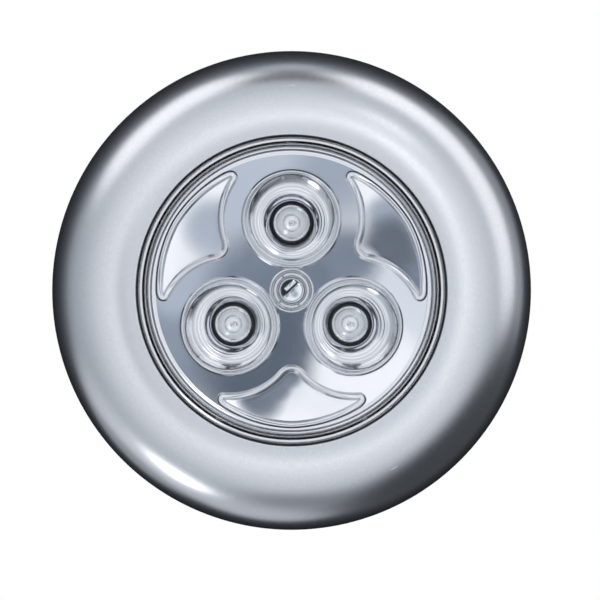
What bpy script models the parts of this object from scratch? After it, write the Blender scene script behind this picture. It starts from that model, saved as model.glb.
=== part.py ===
"""A round push light for a wall: three LEDs in a reflector, behind a clear lens that is the button.

Lengths are in metres. Each piece is modelled with its height above the wall along +Z and the
photographed front's up along +Y. One empty then turns the whole light to face -Y, so that the
wall is the plane Y = 0 and up is +Z.
"""
import math

import bmesh
import bpy
from mathutils import Matrix, Vector

# Gaps and cuts
SEAT_GAP = 0.0001
SIDE_GAP = 0.0003
OVERRUN = 0.0005
SINK = 0.0002
WELD = 0.000001

# Adhesive pad and base plate
PAD_RADIUS = 0.0170
PAD_THICKNESS = 0.0010
PAD_PROUD = 0.0005
BASE_THICKNESS = 0.0018
BASE_BEVEL = 0.0003
BASE_GROOVE_OFFSET = 0.0052
BASE_GROOVE_WIDTH = 0.0010
BASE_GROOVE_DEPTH = 0.0004

# Bayonet that holds the head on the base plate
LOCK_GAP = 0.0003
TAB_THICKNESS = 0.0011
TAB_REACH = 0.0014
LUG_THICKNESS = 0.0010
LUG_TIP_GAP = 0.0005
LUG_POST_WALL = 0.0007
LUG_SPAN = math.radians(26)
LUG_STOP_SPAN = math.radians(4)
LUG_STOP_PLAY = math.radians(1)
LUG_ANGLES = [math.radians(angle) for angle in (0, 120, 240)]

# Cells and the sheet metal contacts at their ends
CELL_RADIUS = 0.00525
CELL_LENGTH = 0.0445
CELL_NUB_RADIUS = 0.0019
CELL_NUB_LENGTH = 0.0010
CELL_FLAT_RADIUS = 0.0040
CELL_BEVEL = 0.0004
CELL_SIDE_GAP = 0.0003
CELL_FLOOR_GAP = 0.0005
CELL_ROWS = (1, 0, -1)
CONTACT_THICKNESS = 0.0003
CONTACT_WIDTH = 0.0084
CONTACT_DEPTH = 0.0068
CONTACT_TAB_WIDTH = 0.0020
CONTACT_TAB_RISE = 0.0009
SPRING_ROOM = 0.0026
SPRING_WIRE = 0.0004
SPRING_WIDE_RADIUS = 0.0031
SPRING_NARROW_RADIUS = 0.0019
SPRING_TURNS = 2.5

# Battery tray
TRAY_DECK = 0.0012
TRAY_WALL = 0.0010
TRAY_WALL_MARGIN = 0.00047
TRAY_RIDGE_WIDTH = 0.0010
TRAY_RIDGE_LENGTH = 0.0150
TRAY_RIDGE_OFFSET = 0.0128
TRAY_POST_HEIGHT = 0.0012
TRAY_POST_RADIUS = 0.0022

# Housing
BAY_GAP = 0.0006
SHELL_WALL = 0.0016
SIDE_DRAFT = 0.0009
HOUSING_LIFT = 0.0004
SHOULDER_DROP = 0.0092
SHOULDER_POWER = 2.3
LIP_GAP = 0.00045
LIP_ROUND = 0.00030
BOSS_RADIUS = 0.0024
BOSS_ANGLES = [math.radians(angle) for angle in (90, 240, 300)]

# Screws
SCREW_RADIUS = 0.00095
SCREW_HEAD_RADIUS = 0.00180
SCREW_HEAD_HEIGHT = 0.00115
SCREW_HEAD_BEVEL = 0.00030
SCREW_BITE = 0.0045
SCREW_RECESS_LENGTH = 0.0020
SCREW_RECESS_WIDTH = 0.0005
SCREW_RECESS_DEPTH = 0.0006
PILOT_GAP = 0.00010
HOLE_GAP = 0.00025
BOARD_SCREW_X = 0.0115

# Circuit board and the parts on it
BOARD_MARGIN = 0.0014
BOARD_THICKNESS = 0.0010
RESISTOR_LENGTH = 0.0032
RESISTOR_WIDTH = 0.0016
RESISTOR_HEIGHT = 0.0006
RESISTOR_SIDE_X = 0.0075
RESISTOR_SIDE_Y = 0.0110
RESISTOR_LOW_Y = 0.0125
LEAD_RADIUS = 0.00040
LEAD_LIFT = 0.00055
LEAD_STRAIGHT = 0.0026
LEAD_END_X = 0.0129
LEAD_END_Y = 0.0083
LEAD_EASE = 0.0020

# LEDs
LED_ANGLES = [math.radians(angle) for angle in (90, 210, 330)]
LED_RADIUS = 0.00240
LED_HEIGHT = 0.00470
LED_ROUND = 0.00045
LED_FLANGE_RADIUS = 0.00262
LED_FLANGE_HEIGHT = 0.00090
LED_PIN_WIDTH = 0.00050
LED_PIN_SPACING = 0.00254
LED_PIN_PROUD = 0.00060
LED_PIN_HOLE_RADIUS = 0.00048

# Reflector
REFLECTOR_MARGIN = 0.0005
REFLECTOR_DEPTH = 0.0052
REFLECTOR_WALL = 0.0008
REFLECTOR_SKIRT = 0.0015
REFLECTOR_LEG_RADIUS = 0.0020
EDGE_BEAD_MARGIN = 0.0005
BEAD_HEIGHT = 0.0003
BEAD_WIDTH = 0.0008
CUP_RADIUS = 0.00640
CUP_RIM_WIDTH = 0.00040
CUP_FLOOR = 0.0009
CUP_LEAN = 0.00050
CUP_HOLE_GAP = 0.00018
CUP_HUB_OVERLAP = 0.00017
HUB_BORE_GAP = 0.00025
HUB_RING_WIDTH = 0.00035
HUB_NOTCH_WIDTH = 0.00090
HUB_NOTCH_DEPTH = 0.00022
HUB_NOTCH_ANGLE = math.radians(50)

# Raised three-cornered outlines on the reflector
OUTLINE_TURNS = [math.radians(angle) for angle in (0, 120, 240)]
OUTLINE_CUP_GAP = 0.00274
OUTLINE_OUTER_MARGIN = 0.00177
OUTLINE_OUTER_SPAN = math.radians(30)
OUTLINE_TIP_DROP = 0.00030
OUTLINE_TIP_SPAN = math.radians(34)
OUTLINE_APEX_TURN = math.radians(17)
OUTLINE_SIDE_END = math.radians(-84)

# Push switch
PRESS_TRAVEL = 0.0010
PRESS_GAP = 0.0002
SWITCH_RADIUS = 0.00290
SWITCH_WALL = 0.00040
COVER_THICKNESS = 0.00050
COVER_STEP = 0.00020
PLUNGER_RADIUS = 0.00165
PLUNGER_GAP = 0.00015
PLUNGER_PROUD = 0.0015
PLUNGER_WALL = 0.00060
PLUNGER_ROOF = 0.00075
PLUNGER_FLANGE_RADIUS = 0.00215
PLUNGER_FLANGE_HEIGHT = 0.00060
SLOT_WIDTH = 0.00060
SLOT_LENGTH = 0.00240
SLOT_DEPTH = 0.00035
SLOT_ANGLE = math.radians(42)
SWITCH_SPRING_WIRE = 0.00025
SWITCH_SPRING_RADIUS = 0.00080
SWITCH_SPRING_TURNS = 4

# Lens
LENS_SKIRT_GAP = 0.0004
LENS_THICKNESS = 0.0018
LENS_PROUD = 0.0008
LENS_GAP = 0.0001
LENS_SKIRT_WALL = 0.0011
LENS_FLANGE_REACH = 0.0017
LENS_FLANGE_THICKNESS = 0.0009
LENS_POST_RADIUS = 0.00240
LENS_EDGE_ROUND = 0.00025
LENS_RIM_WIDTH = 0.00060
LENS_RIM_DROP = 0.00020
LENS_GROOVE_WIDTH = 0.00035
LENS_GROOVE_DEPTH = 0.00060

# Facets
HOUSING_STEPS = 60
SHOULDER_STEPS = 7
LENS_STEPS = 56
REFLECTOR_STEPS = 44
CUP_STEPS = 24
CUP_RINGS = 4
ROUND_STEPS = 20
SMALL_STEPS = 12
OUTLINE_SIDE_STEPS = 5
OUTLINE_CORNER_STEPS = 3
COIL_POINTS = 10
COIL_RESOLUTION = 1
LEAD_POINTS = 5
LEAD_RESOLUTION = 1
SHARP = math.radians(32)

# Heights above the wall, from the pad outwards
base_rear = PAD_PROUD
recess_floor = PAD_THICKNESS + SEAT_GAP
base_top = base_rear + BASE_THICKNESS
housing_rear = base_rear + HOUSING_LIFT
tab_low = base_top + LOCK_GAP
tab_high = tab_low + TAB_THICKNESS
lug_low = tab_high + LOCK_GAP
lug_high = lug_low + LUG_THICKNESS
cell_axis = base_top + CELL_FLOOR_GAP + CELL_RADIUS
tray_wall_rear = lug_high + SIDE_GAP
tray_rear = cell_axis + CELL_RADIUS + SIDE_GAP
tray_front = tray_rear + TRAY_DECK
tray_post_top = tray_front + TRAY_POST_HEIGHT
board_rear = tray_post_top + SEAT_GAP
board_front = board_rear + BOARD_THICKNESS
seat = board_front + SEAT_GAP
case_floor = seat + SWITCH_WALL
plunger_rear = case_floor + PRESS_TRAVEL + PRESS_GAP
plunger_flange_top = plunger_rear + PLUNGER_FLANGE_HEIGHT
cover_rear = plunger_flange_top + SEAT_GAP
cover_front = cover_rear + COVER_THICKNESS
plunger_top = cover_front + PLUNGER_PROUD
post_end = plunger_top + SEAT_GAP
led_top = seat + LED_HEIGHT
cup_floor = seat + CUP_FLOOR
reflector_face = seat + REFLECTOR_DEPTH
bead_top = reflector_face + BEAD_HEIGHT
lens_rear = bead_top + PRESS_TRAVEL + LENS_GAP
lens_front = lens_rear + LENS_THICKNESS
face = lens_front - LENS_PROUD
lip_rear = face - SHELL_WALL
flange_front = lip_rear - SEAT_GAP
flange_rear = flange_front - LENS_FLANGE_THICKNESS
shoulder = face - SHOULDER_DROP

# Places across the light
cell_pitch = CELL_RADIUS + CELL_RADIUS + CELL_SIDE_GAP
contact_face = (CELL_LENGTH + SPRING_ROOM + SEAT_GAP) / 2
contact_back = contact_face + CONTACT_THICKNESS
tray_wall_face = contact_back + SEAT_GAP
tray_wall_back = tray_wall_face + TRAY_WALL
tray_wall_half = cell_pitch + CONTACT_WIDTH / 2 + TRAY_WALL_MARGIN
hub_bore = LENS_POST_RADIUS + HUB_BORE_GAP
hub_ring = hub_bore + HUB_RING_WIDTH
cup_rim = CUP_RADIUS + CUP_RIM_WIDTH
cup_place = hub_ring - CUP_HUB_OVERLAP + cup_rim
led_place = cup_place - CUP_LEAN
cup_hole_radius = LED_FLANGE_RADIUS + CUP_HOLE_GAP
outline_outer = cup_place + cup_rim + OUTLINE_OUTER_MARGIN
edge_bead = outline_outer + EDGE_BEAD_MARGIN
reflector_radius = edge_bead + REFLECTOR_MARGIN
lens_skirt_inner = reflector_radius + LENS_SKIRT_GAP
lens_radius = lens_skirt_inner + LENS_SKIRT_WALL
lens_opening = lens_radius + LIP_GAP
lens_flange = lens_radius + LENS_FLANGE_REACH
pocket_radius = lens_flange + SIDE_GAP
boss_place = pocket_radius + SIDE_GAP + BOSS_RADIUS
bay_corner = math.hypot(tray_wall_back, tray_wall_half) + BAY_GAP
rear_inner = max(bay_corner, boss_place + BOSS_RADIUS + SIDE_GAP + TAB_REACH)
rear_radius = rear_inner + SHELL_WALL
body_radius = rear_radius + SIDE_DRAFT
base_radius = rear_inner - SIDE_GAP
tab_inner = rear_inner - TAB_REACH
lug_post_outer = tab_inner - SIDE_GAP
lug_post_inner = lug_post_outer - LUG_POST_WALL
lug_tip = rear_inner - LUG_TIP_GAP
tray_radius = tab_inner - SIDE_GAP
pilot_radius = SCREW_RADIUS + PILOT_GAP
screw_hole_radius = SCREW_RADIUS + HOLE_GAP
board_screw_y = cell_pitch / 2
board_radius = math.hypot(BOARD_SCREW_X, board_screw_y) + TRAY_POST_RADIUS + BOARD_MARGIN
cover_hole = PLUNGER_RADIUS + PLUNGER_GAP
tray_screw_places = [(boss_place * math.cos(a), boss_place * math.sin(a)) for a in BOSS_ANGLES]
board_screw_places = [(BOARD_SCREW_X, board_screw_y), (-BOARD_SCREW_X, board_screw_y), (0, -board_screw_y)]
led_places = [(led_place * math.cos(a), led_place * math.sin(a)) for a in LED_ANGLES]
resistor_places = [(RESISTOR_SIDE_X, RESISTOR_SIDE_Y), (-RESISTOR_SIDE_X, RESISTOR_SIDE_Y), (0, -RESISTOR_LOW_Y)]


def clear_scene():
    """Empty the scene."""
    for old in list(bpy.data.objects):
        bpy.data.objects.remove(old)


def material(name, colour, roughness, metallic=0.0, alpha=1.0):
    """A plain surface in one colour."""
    made = bpy.data.materials.new(name)
    made.use_nodes = True
    surface = made.node_tree.nodes["Principled BSDF"]
    surface.inputs["Base Color"].default_value = (*colour, 1.0)
    surface.inputs["Roughness"].default_value = roughness
    surface.inputs["Metallic"].default_value = metallic
    surface.inputs["Alpha"].default_value = alpha
    made.diffuse_color = (*colour, alpha)
    return made


def mesh_object(name, shape):
    """An object holding the mesh of one bmesh, which is used up."""
    mesh = bpy.data.meshes.new(name)
    shape.to_mesh(mesh)
    shape.free()
    made = bpy.data.objects.new(name, mesh)
    bpy.context.scene.collection.objects.link(made)
    return made


def combine(body, shape, operation):
    """Join a shape to a body, cut it out, or keep what both hold."""
    tool = mesh_object("tool", shape)
    boolean = body.modifiers.new("combine", "BOOLEAN")
    boolean.operation = operation
    boolean.object = tool
    boolean.solver = "EXACT"
    graph = bpy.context.evaluated_depsgraph_get()
    mesh = bpy.data.meshes.new_from_object(body.evaluated_get(graph))
    body.modifiers.remove(boolean)
    body.data = mesh
    bpy.data.objects.remove(tool)


def piece(name, shape, finish, join=(), cut=()):
    """One finished piece: a shape with others joined on and cut out."""
    made = mesh_object(name, shape)
    for extra in join:
        combine(made, extra, "UNION")
    for extra in cut:
        combine(made, extra, "DIFFERENCE")
    made.data.name = name
    made.data.materials.clear()
    made.data.materials.append(finish)
    made.data.shade_smooth()
    made.data.set_sharp_from_angle(angle=SHARP)
    made.parent = facing
    return made


def turned(profile, steps):
    """Turn a profile of (radius, height) points about the Z axis."""
    shape = bmesh.new()
    points = [shape.verts.new((radius, 0, height)) for radius, height in profile]
    on_axis = profile[0][0] == 0
    ends = points[1:] if on_axis else points[1:] + points[:1]
    edges = [shape.edges.new(pair) for pair in zip(points, ends)]
    bmesh.ops.spin(
        shape, geom=points + edges, cent=(0, 0, 0), axis=(0, 0, 1),
        angle=math.tau, steps=steps, use_merge=True,
    )
    bmesh.ops.remove_doubles(shape, verts=shape.verts, dist=WELD)
    bmesh.ops.recalc_face_normals(shape, faces=shape.faces)
    return shape


def box(low, high):
    """A box between two opposite corners."""
    shape = bmesh.new()
    low = Vector(low)
    high = Vector(high)
    place = Matrix.Translation((low + high) / 2) @ Matrix.Diagonal((*(high - low), 1))
    bmesh.ops.create_cube(shape, size=1, matrix=place)
    return shape


def rod(radius, low, high, place=(0, 0), steps=ROUND_STEPS):
    """A cylinder standing between two heights."""
    shape = bmesh.new()
    bmesh.ops.create_cone(
        shape, cap_ends=True, segments=steps, radius1=radius, radius2=radius,
        depth=high - low, matrix=Matrix.Translation((*place, (low + high) / 2)),
    )
    return shape


def sector(corners, start, span, steps=6):
    """Part of a ring whose section has these (radius, height) corners, from one angle on."""
    shape = bmesh.new()
    points = [shape.verts.new((radius, 0, height)) for radius, height in corners]
    front = shape.faces.new(points)
    bmesh.ops.rotate(shape, verts=points, cent=(0, 0, 0), matrix=Matrix.Rotation(start, 3, "Z"))
    bmesh.ops.spin(
        shape, geom=[front] + points + front.edges[:], cent=(0, 0, 0), axis=(0, 0, 1),
        angle=span, steps=steps,
    )
    bmesh.ops.remove_doubles(shape, verts=shape.verts, dist=WELD)
    bmesh.ops.recalc_face_normals(shape, faces=shape.faces)
    return shape


def stacked(rings):
    """A closed body through circles of (radius, height, centre), from the lowest up."""
    shape = bmesh.new()
    radius, height, centre = rings[0]
    place = Matrix.Translation((*centre, height))
    bmesh.ops.create_circle(shape, cap_ends=True, segments=CUP_STEPS, radius=radius, matrix=place)
    rim = shape.edges[:]
    for wider, higher, beyond in rings[1:]:
        raised = bmesh.ops.extrude_edge_only(shape, edges=rim)
        rim = [item for item in raised["geom"] if isinstance(item, bmesh.types.BMEdge)]
        points = [item for item in raised["geom"] if isinstance(item, bmesh.types.BMVert)]
        grow = Matrix.Diagonal((wider / radius, wider / radius, 1))
        bmesh.ops.transform(shape, verts=points, matrix=grow.to_4x4(), space=place.inverted())
        bmesh.ops.translate(shape, verts=points, vec=(*(Vector(beyond) - Vector(centre)), higher - height))
        radius, height, centre = wider, higher, beyond
        place = Matrix.Translation((*centre, height))
    bmesh.ops.holes_fill(shape, edges=rim, sides=0)
    bmesh.ops.recalc_face_normals(shape, faces=shape.faces)
    return shape


def placed(shape, x=0, y=0, z=0, turn=0):
    """Turn a shape about the Z axis, then move it."""
    bmesh.ops.rotate(shape, verts=shape.verts, cent=(0, 0, 0), matrix=Matrix.Rotation(turn, 3, "Z"))
    bmesh.ops.translate(shape, verts=shape.verts, vec=(x, y, z))
    return shape


def laid_along_x(shape, forward):
    """Lay a shape that stands along +Z so that it points along +X, or along -X."""
    turn = math.radians(90) if forward else math.radians(-90)
    bmesh.ops.rotate(shape, verts=shape.verts, cent=(0, 0, 0), matrix=Matrix.Rotation(turn, 3, "Y"))
    return shape


def wire(name, points, radius, resolution, finish):
    """One unbroken round wire through a list of points."""
    curve = bpy.data.curves.new(name, "CURVE")
    curve.dimensions = "3D"
    curve.bevel_depth = radius
    curve.bevel_resolution = resolution
    curve.use_fill_caps = True
    spline = curve.splines.new("POLY")
    spline.points.add(len(points) - 1)
    for target, point in zip(spline.points, points):
        target.co = (*point, 1)
    curve.materials.append(finish)
    made = bpy.data.objects.new(name, curve)
    bpy.context.scene.collection.objects.link(made)
    made.parent = facing
    return made


def coil(radius_start, radius_end, length, turns):
    """Points along a coil that climbs +Z from zero and may taper."""
    count = round(turns * COIL_POINTS)
    points = []
    for index in range(count + 1):
        share = index / count
        radius = radius_start + (radius_end - radius_start) * share
        angle = math.tau * turns * share
        points.append(Vector((radius * math.cos(angle), radius * math.sin(angle), length * share)))
    return points


def least_gap(points, wire_diameter):
    """The least clear distance between a coil's neighbouring turns."""
    nearest = math.inf
    apart = COIL_POINTS // 2
    for index, point in enumerate(points):
        for other in points[index + apart:]:
            nearest = min(nearest, (point - other).length)
    return nearest - wire_diameter


def smooth_route(knots):
    """Points on a smooth curve through a route's own points."""
    knots = [Vector(knot) for knot in knots]
    first = knots[0] + knots[0] - knots[1]
    last = knots[-1] + knots[-1] - knots[-2]
    padded = [first] + knots + [last]
    points = []
    for a, b, c, d in zip(padded, padded[1:], padded[2:], padded[3:]):
        for index in range(LEAD_POINTS):
            t = index / LEAD_POINTS
            ahead = (c - a) * t
            bend = (a + a - 5 * b + 4 * c - d) * t ** 2
            close = (3 * b - a - 3 * c + d) * t ** 3
            points.append(b + (ahead + bend + close) / 2)
    points.append(knots[-1])
    return points


def shoulder_curve(centre, outer, top):
    """The rounded shoulder from the face out to the widest point, as (radius, height) points."""
    points = []
    for index in range(SHOULDER_STEPS + 1):
        angle = math.radians(90) * (1 - index / SHOULDER_STEPS)
        across = math.cos(angle) ** (2 / SHOULDER_POWER) if index else 0
        up = math.sin(angle) ** (2 / SHOULDER_POWER) if index < SHOULDER_STEPS else 0
        points.append((centre + (outer - centre) * across, shoulder + (top - shoulder) * up))
    return points


def make_adhesive_pad():
    """A round foam pad, set in the base plate's recess and standing out of it."""
    foam = material("foam", (0.85, 0.85, 0.83), 0.95)
    piece("adhesive_pad", rod(PAD_RADIUS, 0, PAD_THICKNESS, steps=LENS_STEPS), foam)


def make_base_plate():
    """The back plate, with a recess for the pad and three hooked bayonet lugs."""
    plastic = material("base plastic", (0.22, 0.22, 0.23), 0.55)
    recess_radius = PAD_RADIUS + SIDE_GAP
    groove_inner = recess_radius + BASE_GROOVE_OFFSET
    groove_outer = groove_inner + BASE_GROOVE_WIDTH
    groove_floor = base_rear + BASE_GROOVE_DEPTH
    plate = turned([
        (0, recess_floor),
        (recess_radius, recess_floor),
        (recess_radius, base_rear),
        (groove_inner, base_rear),
        (groove_inner, groove_floor),
        (groove_outer, groove_floor),
        (groove_outer, base_rear),
        (base_radius - BASE_BEVEL, base_rear),
        (base_radius, base_rear + BASE_BEVEL),
        (base_radius, base_top),
        (0, base_top),
    ], HOUSING_STEPS)
    low = base_top - SINK
    hook = [
        (lug_post_inner, low),
        (lug_post_outer, low),
        (lug_post_outer, lug_low),
        (lug_tip, lug_low),
        (lug_tip, lug_high),
        (lug_post_inner, lug_high),
    ]
    stop = [
        (lug_post_outer - SINK, low - SINK),
        (lug_tip - SINK, low - SINK),
        (lug_tip - SINK, lug_low + SINK),
        (lug_post_outer - SINK, lug_low + SINK),
    ]
    lugs = []
    for angle in LUG_ANGLES:
        start = angle - LUG_SPAN / 2 - LUG_STOP_PLAY - LUG_STOP_SPAN
        lugs.append(sector(hook, start - LUG_STOP_PLAY, LUG_STOP_PLAY + angle + LUG_SPAN / 2 - start))
        lugs.append(sector(stop, start, LUG_STOP_SPAN, 2))
    piece("base_plate", plate, plastic, join=lugs)


def make_housing():
    """The shell: a straight tapered side, a rounded shoulder and a face with the lens's opening."""
    paint = material("silver paint", (0.72, 0.73, 0.75), 0.35, 0.6)
    lip = lens_opening
    outside = shoulder_curve(lip + LIP_ROUND, body_radius, face)
    inside = shoulder_curve(pocket_radius, body_radius - SHELL_WALL, lip_rear)
    profile = [(rear_radius, housing_rear)] + outside[::-1] + [(lip, face - LIP_ROUND), (lip, lip_rear)]
    profile += inside + [(rear_inner, housing_rear)]
    shell = turned(profile, HOUSING_STEPS)
    extras = []
    core_centre = pocket_radius
    core_radius = body_radius - SHELL_WALL / 2
    core_top = face - SHELL_WALL / 2
    bosses = []
    for place in tray_screw_places:
        boss = mesh_object("boss", rod(BOSS_RADIUS, tray_front + SEAT_GAP, face, place))
        core = [(0, housing_rear), (core_radius, housing_rear)]
        core += shoulder_curve(core_centre, core_radius, core_top)[::-1] + [(0, core_top)]
        combine(boss, turned(core, HOUSING_STEPS), "INTERSECT")
        kept = bmesh.new()
        kept.from_mesh(boss.data)
        bpy.data.objects.remove(boss)
        bosses.append(kept)
    tab_outer = rear_inner + SHELL_WALL / 2
    tab = [(tab_inner, tab_low), (tab_outer, tab_low), (tab_outer, tab_high), (tab_inner, tab_high)]
    for angle in LUG_ANGLES:
        start = angle - LUG_SPAN / 2
        extras.append(sector(tab, start, LUG_SPAN))
    pilot_low = tray_front - OVERRUN
    pilot_high = tray_front + SCREW_BITE + OVERRUN
    pilots = [rod(pilot_radius, pilot_low, pilot_high, place, SMALL_STEPS) for place in tray_screw_places]
    piece("housing", shell, paint, join=extras + bosses, cut=pilots)


def make_battery_tray():
    """The deck over the cells: end walls behind the contacts, ridges between cells, board posts."""
    plastic = material("tray plastic", (0.13, 0.13, 0.14), 0.5)
    deck = rod(tray_radius, tray_rear, tray_front, steps=LENS_STEPS)
    joined = []
    for side in (1, -1):
        ends = sorted((side * tray_wall_face, side * tray_wall_back))
        low = (ends[0], -tray_wall_half, tray_wall_rear)
        high = (ends[1], tray_wall_half, tray_rear + SINK)
        joined.append(box(low, high))
    valley = cell_pitch / 2 - TRAY_RIDGE_WIDTH / 2
    ridge_low = cell_axis + math.sqrt(CELL_RADIUS ** 2 - valley ** 2) + SIDE_GAP
    ridges = [(0, 1), (TRAY_RIDGE_OFFSET, -1), (-TRAY_RIDGE_OFFSET, -1)]
    for centre, side in ridges:
        middle = side * cell_pitch / 2
        low = (centre - TRAY_RIDGE_LENGTH / 2, middle - TRAY_RIDGE_WIDTH / 2, ridge_low)
        high = (centre + TRAY_RIDGE_LENGTH / 2, middle + TRAY_RIDGE_WIDTH / 2, tray_rear + SINK)
        joined.append(box(low, high))
    for place in board_screw_places:
        joined.append(rod(TRAY_POST_RADIUS, tray_front - SINK, tray_post_top, place))
    low = tray_rear - OVERRUN
    high = tray_post_top + OVERRUN
    holes = [
        rod(screw_hole_radius, low, high, place, SMALL_STEPS)
        for place in tray_screw_places + board_screw_places
    ]
    for side in (1, -1):
        ends = sorted((side * (contact_face - SIDE_GAP), side * tray_wall_face))
        middle = side * cell_pitch
        half = CONTACT_TAB_WIDTH / 2 + SIDE_GAP
        holes.append(box((ends[0], middle - half, low), (ends[1], middle + half, high)))
    piece("battery_tray", deck, plastic, join=joined, cut=holes)


def make_cells():
    """Three cells side by side, with the middle one turned round."""
    jacket = material("cell jacket", (0.10, 0.11, 0.13), 0.3, 0.4)
    body_end = CELL_LENGTH - CELL_NUB_LENGTH
    profile = [
        (0, 0),
        (CELL_FLAT_RADIUS, 0),
        (CELL_FLAT_RADIUS, CELL_BEVEL / 2),
        (CELL_RADIUS - CELL_BEVEL, CELL_BEVEL / 2),
        (CELL_RADIUS, CELL_BEVEL),
        (CELL_RADIUS, body_end - CELL_BEVEL),
        (CELL_RADIUS - CELL_BEVEL, body_end),
        (CELL_NUB_RADIUS, body_end),
        (CELL_NUB_RADIUS, CELL_LENGTH),
        (0, CELL_LENGTH),
    ]
    for number, row in enumerate(CELL_ROWS, 1):
        forward = row != 0
        shape = laid_along_x(turned(profile, ROUND_STEPS), forward)
        start = SPRING_ROOM - contact_face
        placed(shape, x=start if forward else -start, y=row * cell_pitch, z=cell_axis)
        piece(f"battery_{number}", shape, jacket)


def contact(name, side, rows, finish, tab):
    """A sheet metal contact at one end of the tray, across one cell or two, perhaps with a tab."""
    ends = sorted((side * contact_face, side * contact_back))
    middles = [row * cell_pitch for row in rows]
    low_y = min(middles) - CONTACT_WIDTH / 2
    high_y = max(middles) + CONTACT_WIDTH / 2
    low_z = cell_axis - CONTACT_DEPTH / 2 + SIDE_GAP + SIDE_GAP
    high_z = cell_axis + CONTACT_DEPTH / 2
    plate = box((ends[0], low_y, max(low_z, tray_wall_rear)), (ends[1], high_y, high_z))
    joined = []
    if tab:
        half = CONTACT_TAB_WIDTH / 2
        low = (ends[0], middles[0] - half, high_z - SINK)
        joined.append(box(low, (ends[1], middles[0] + half, tray_front + CONTACT_TAB_RISE)))
    piece(name, plate, finish, join=joined)


def make_contacts():
    """Four contacts that put the cells in series."""
    nickel = material("nickel plate", (0.66, 0.65, 0.62), 0.3, 1.0)
    top, middle, low = CELL_ROWS
    contact("contact_positive", 1, (top,), nickel, True)
    contact("contact_bridge_1", -1, (top, middle), nickel, False)
    contact("contact_bridge_2", 1, (middle, low), nickel, False)
    contact("contact_negative", -1, (low,), nickel, True)


def make_battery_springs():
    """A tapered spring at each cell's flat end."""
    steel = material("spring steel", (0.6, 0.6, 0.61), 0.25, 1.0)
    length = SPRING_ROOM - SEAT_GAP - SEAT_GAP - SPRING_WIRE
    points = coil(SPRING_WIDE_RADIUS, SPRING_NARROW_RADIUS, length, SPRING_TURNS)
    print("battery spring: least gap between turns", round(least_gap(points, SPRING_WIRE), 6))
    for number, row in enumerate(CELL_ROWS, 1):
        side = -1 if row else 1
        turn = Matrix.Rotation(math.radians(-90 * side), 3, "Y")
        start = Vector((side * (contact_face - SEAT_GAP - SPRING_WIRE / 2), row * cell_pitch, cell_axis))
        route = [start + turn @ point for point in points]
        wire(f"battery_spring_{number}", route, SPRING_WIRE / 2, COIL_RESOLUTION, steel)


def screw_shape():
    """A pan head screw standing on Z = 0 with its plain thread up and a crossed recess below."""
    bite = TRAY_DECK + SEAT_GAP + SCREW_BITE
    return turned([
        (0, -SCREW_HEAD_HEIGHT),
        (SCREW_HEAD_RADIUS - SCREW_HEAD_BEVEL, -SCREW_HEAD_HEIGHT),
        (SCREW_HEAD_RADIUS, SCREW_HEAD_BEVEL - SCREW_HEAD_HEIGHT),
        (SCREW_HEAD_RADIUS, 0),
        (SCREW_RADIUS, 0),
        (SCREW_RADIUS, bite - SCREW_RADIUS),
        (0, bite),
    ], SMALL_STEPS)


def make_screws():
    """Three screws hold the tray in the housing, three hold the board and reflector on the tray."""
    zinc = material("zinc plate", (0.62, 0.62, 0.6), 0.35, 1.0)
    head = tray_rear - SEAT_GAP
    low = head - SCREW_HEAD_HEIGHT - OVERRUN
    high = head - SCREW_HEAD_HEIGHT + SCREW_RECESS_DEPTH
    groups = [("tray_screw", tray_screw_places), ("board_screw", board_screw_places)]
    for group, places in groups:
        for number, (x, y) in enumerate(places, 1):
            long_way = SCREW_RECESS_LENGTH / 2
            short_way = SCREW_RECESS_WIDTH / 2
            across = box((-long_way, -short_way, low), (long_way, short_way, high))
            along = box((-short_way, -long_way, low), (short_way, long_way, high))
            cuts = [placed(across, x=x, y=y), placed(along, x=x, y=y)]
            piece(f"{group}_{number}", placed(screw_shape(), x=x, y=y, z=head), zinc, cut=cuts)


def make_circuit_board():
    """A round board with holes for the screws and the LEDs' pins."""
    board = material("circuit board", (0.05, 0.22, 0.09), 0.45)
    low = board_rear - OVERRUN
    high = board_front + OVERRUN
    holes = [rod(screw_hole_radius, low, high, place, SMALL_STEPS) for place in board_screw_places]
    for x, y in led_places:
        for side in (1, -1):
            place = (x + side * LED_PIN_SPACING / 2, y)
            holes.append(rod(LED_PIN_HOLE_RADIUS, low, high, place, SMALL_STEPS))
    piece("circuit_board", rod(board_radius, board_rear, board_front, steps=LENS_STEPS), board, cut=holes)


def make_resistors():
    """A chip resistor for each LED."""
    ceramic = material("chip resistor", (0.05, 0.05, 0.05), 0.4)
    for number, (x, y) in enumerate(resistor_places, 1):
        half_x = RESISTOR_LENGTH / 2
        half_y = RESISTOR_WIDTH / 2
        low = (x - half_x, y - half_y, seat)
        chip = box(low, (x + half_x, y + half_y, seat + RESISTOR_HEIGHT))
        piece(f"resistor_{number}", chip, ceramic)


def make_leds():
    """Three clear wide-angle LEDs, each with a flange and two pins through the board."""
    resin = material("led resin", (0.86, 0.88, 0.9), 0.05, alpha=0.5)
    profile = [
        (0, seat),
        (LED_FLANGE_RADIUS, seat),
        (LED_FLANGE_RADIUS, seat + LED_FLANGE_HEIGHT),
        (LED_RADIUS, seat + LED_FLANGE_HEIGHT),
        (LED_RADIUS, led_top - LED_ROUND),
        (LED_RADIUS - LED_ROUND / 3, led_top - LED_ROUND / 3),
        (LED_RADIUS - LED_ROUND, led_top),
        (0, led_top),
    ]
    for number, (x, y) in enumerate(led_places, 1):
        pins = []
        for side in (1, -1):
            middle = x + side * LED_PIN_SPACING / 2
            half = LED_PIN_WIDTH / 2
            low = (middle - half, y - half, board_rear - LED_PIN_PROUD)
            pins.append(box(low, (middle + half, y + half, seat + SINK)))
        piece(f"led_{number}", placed(turned(profile, ROUND_STEPS), x=x, y=y), resin, join=pins)


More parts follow.
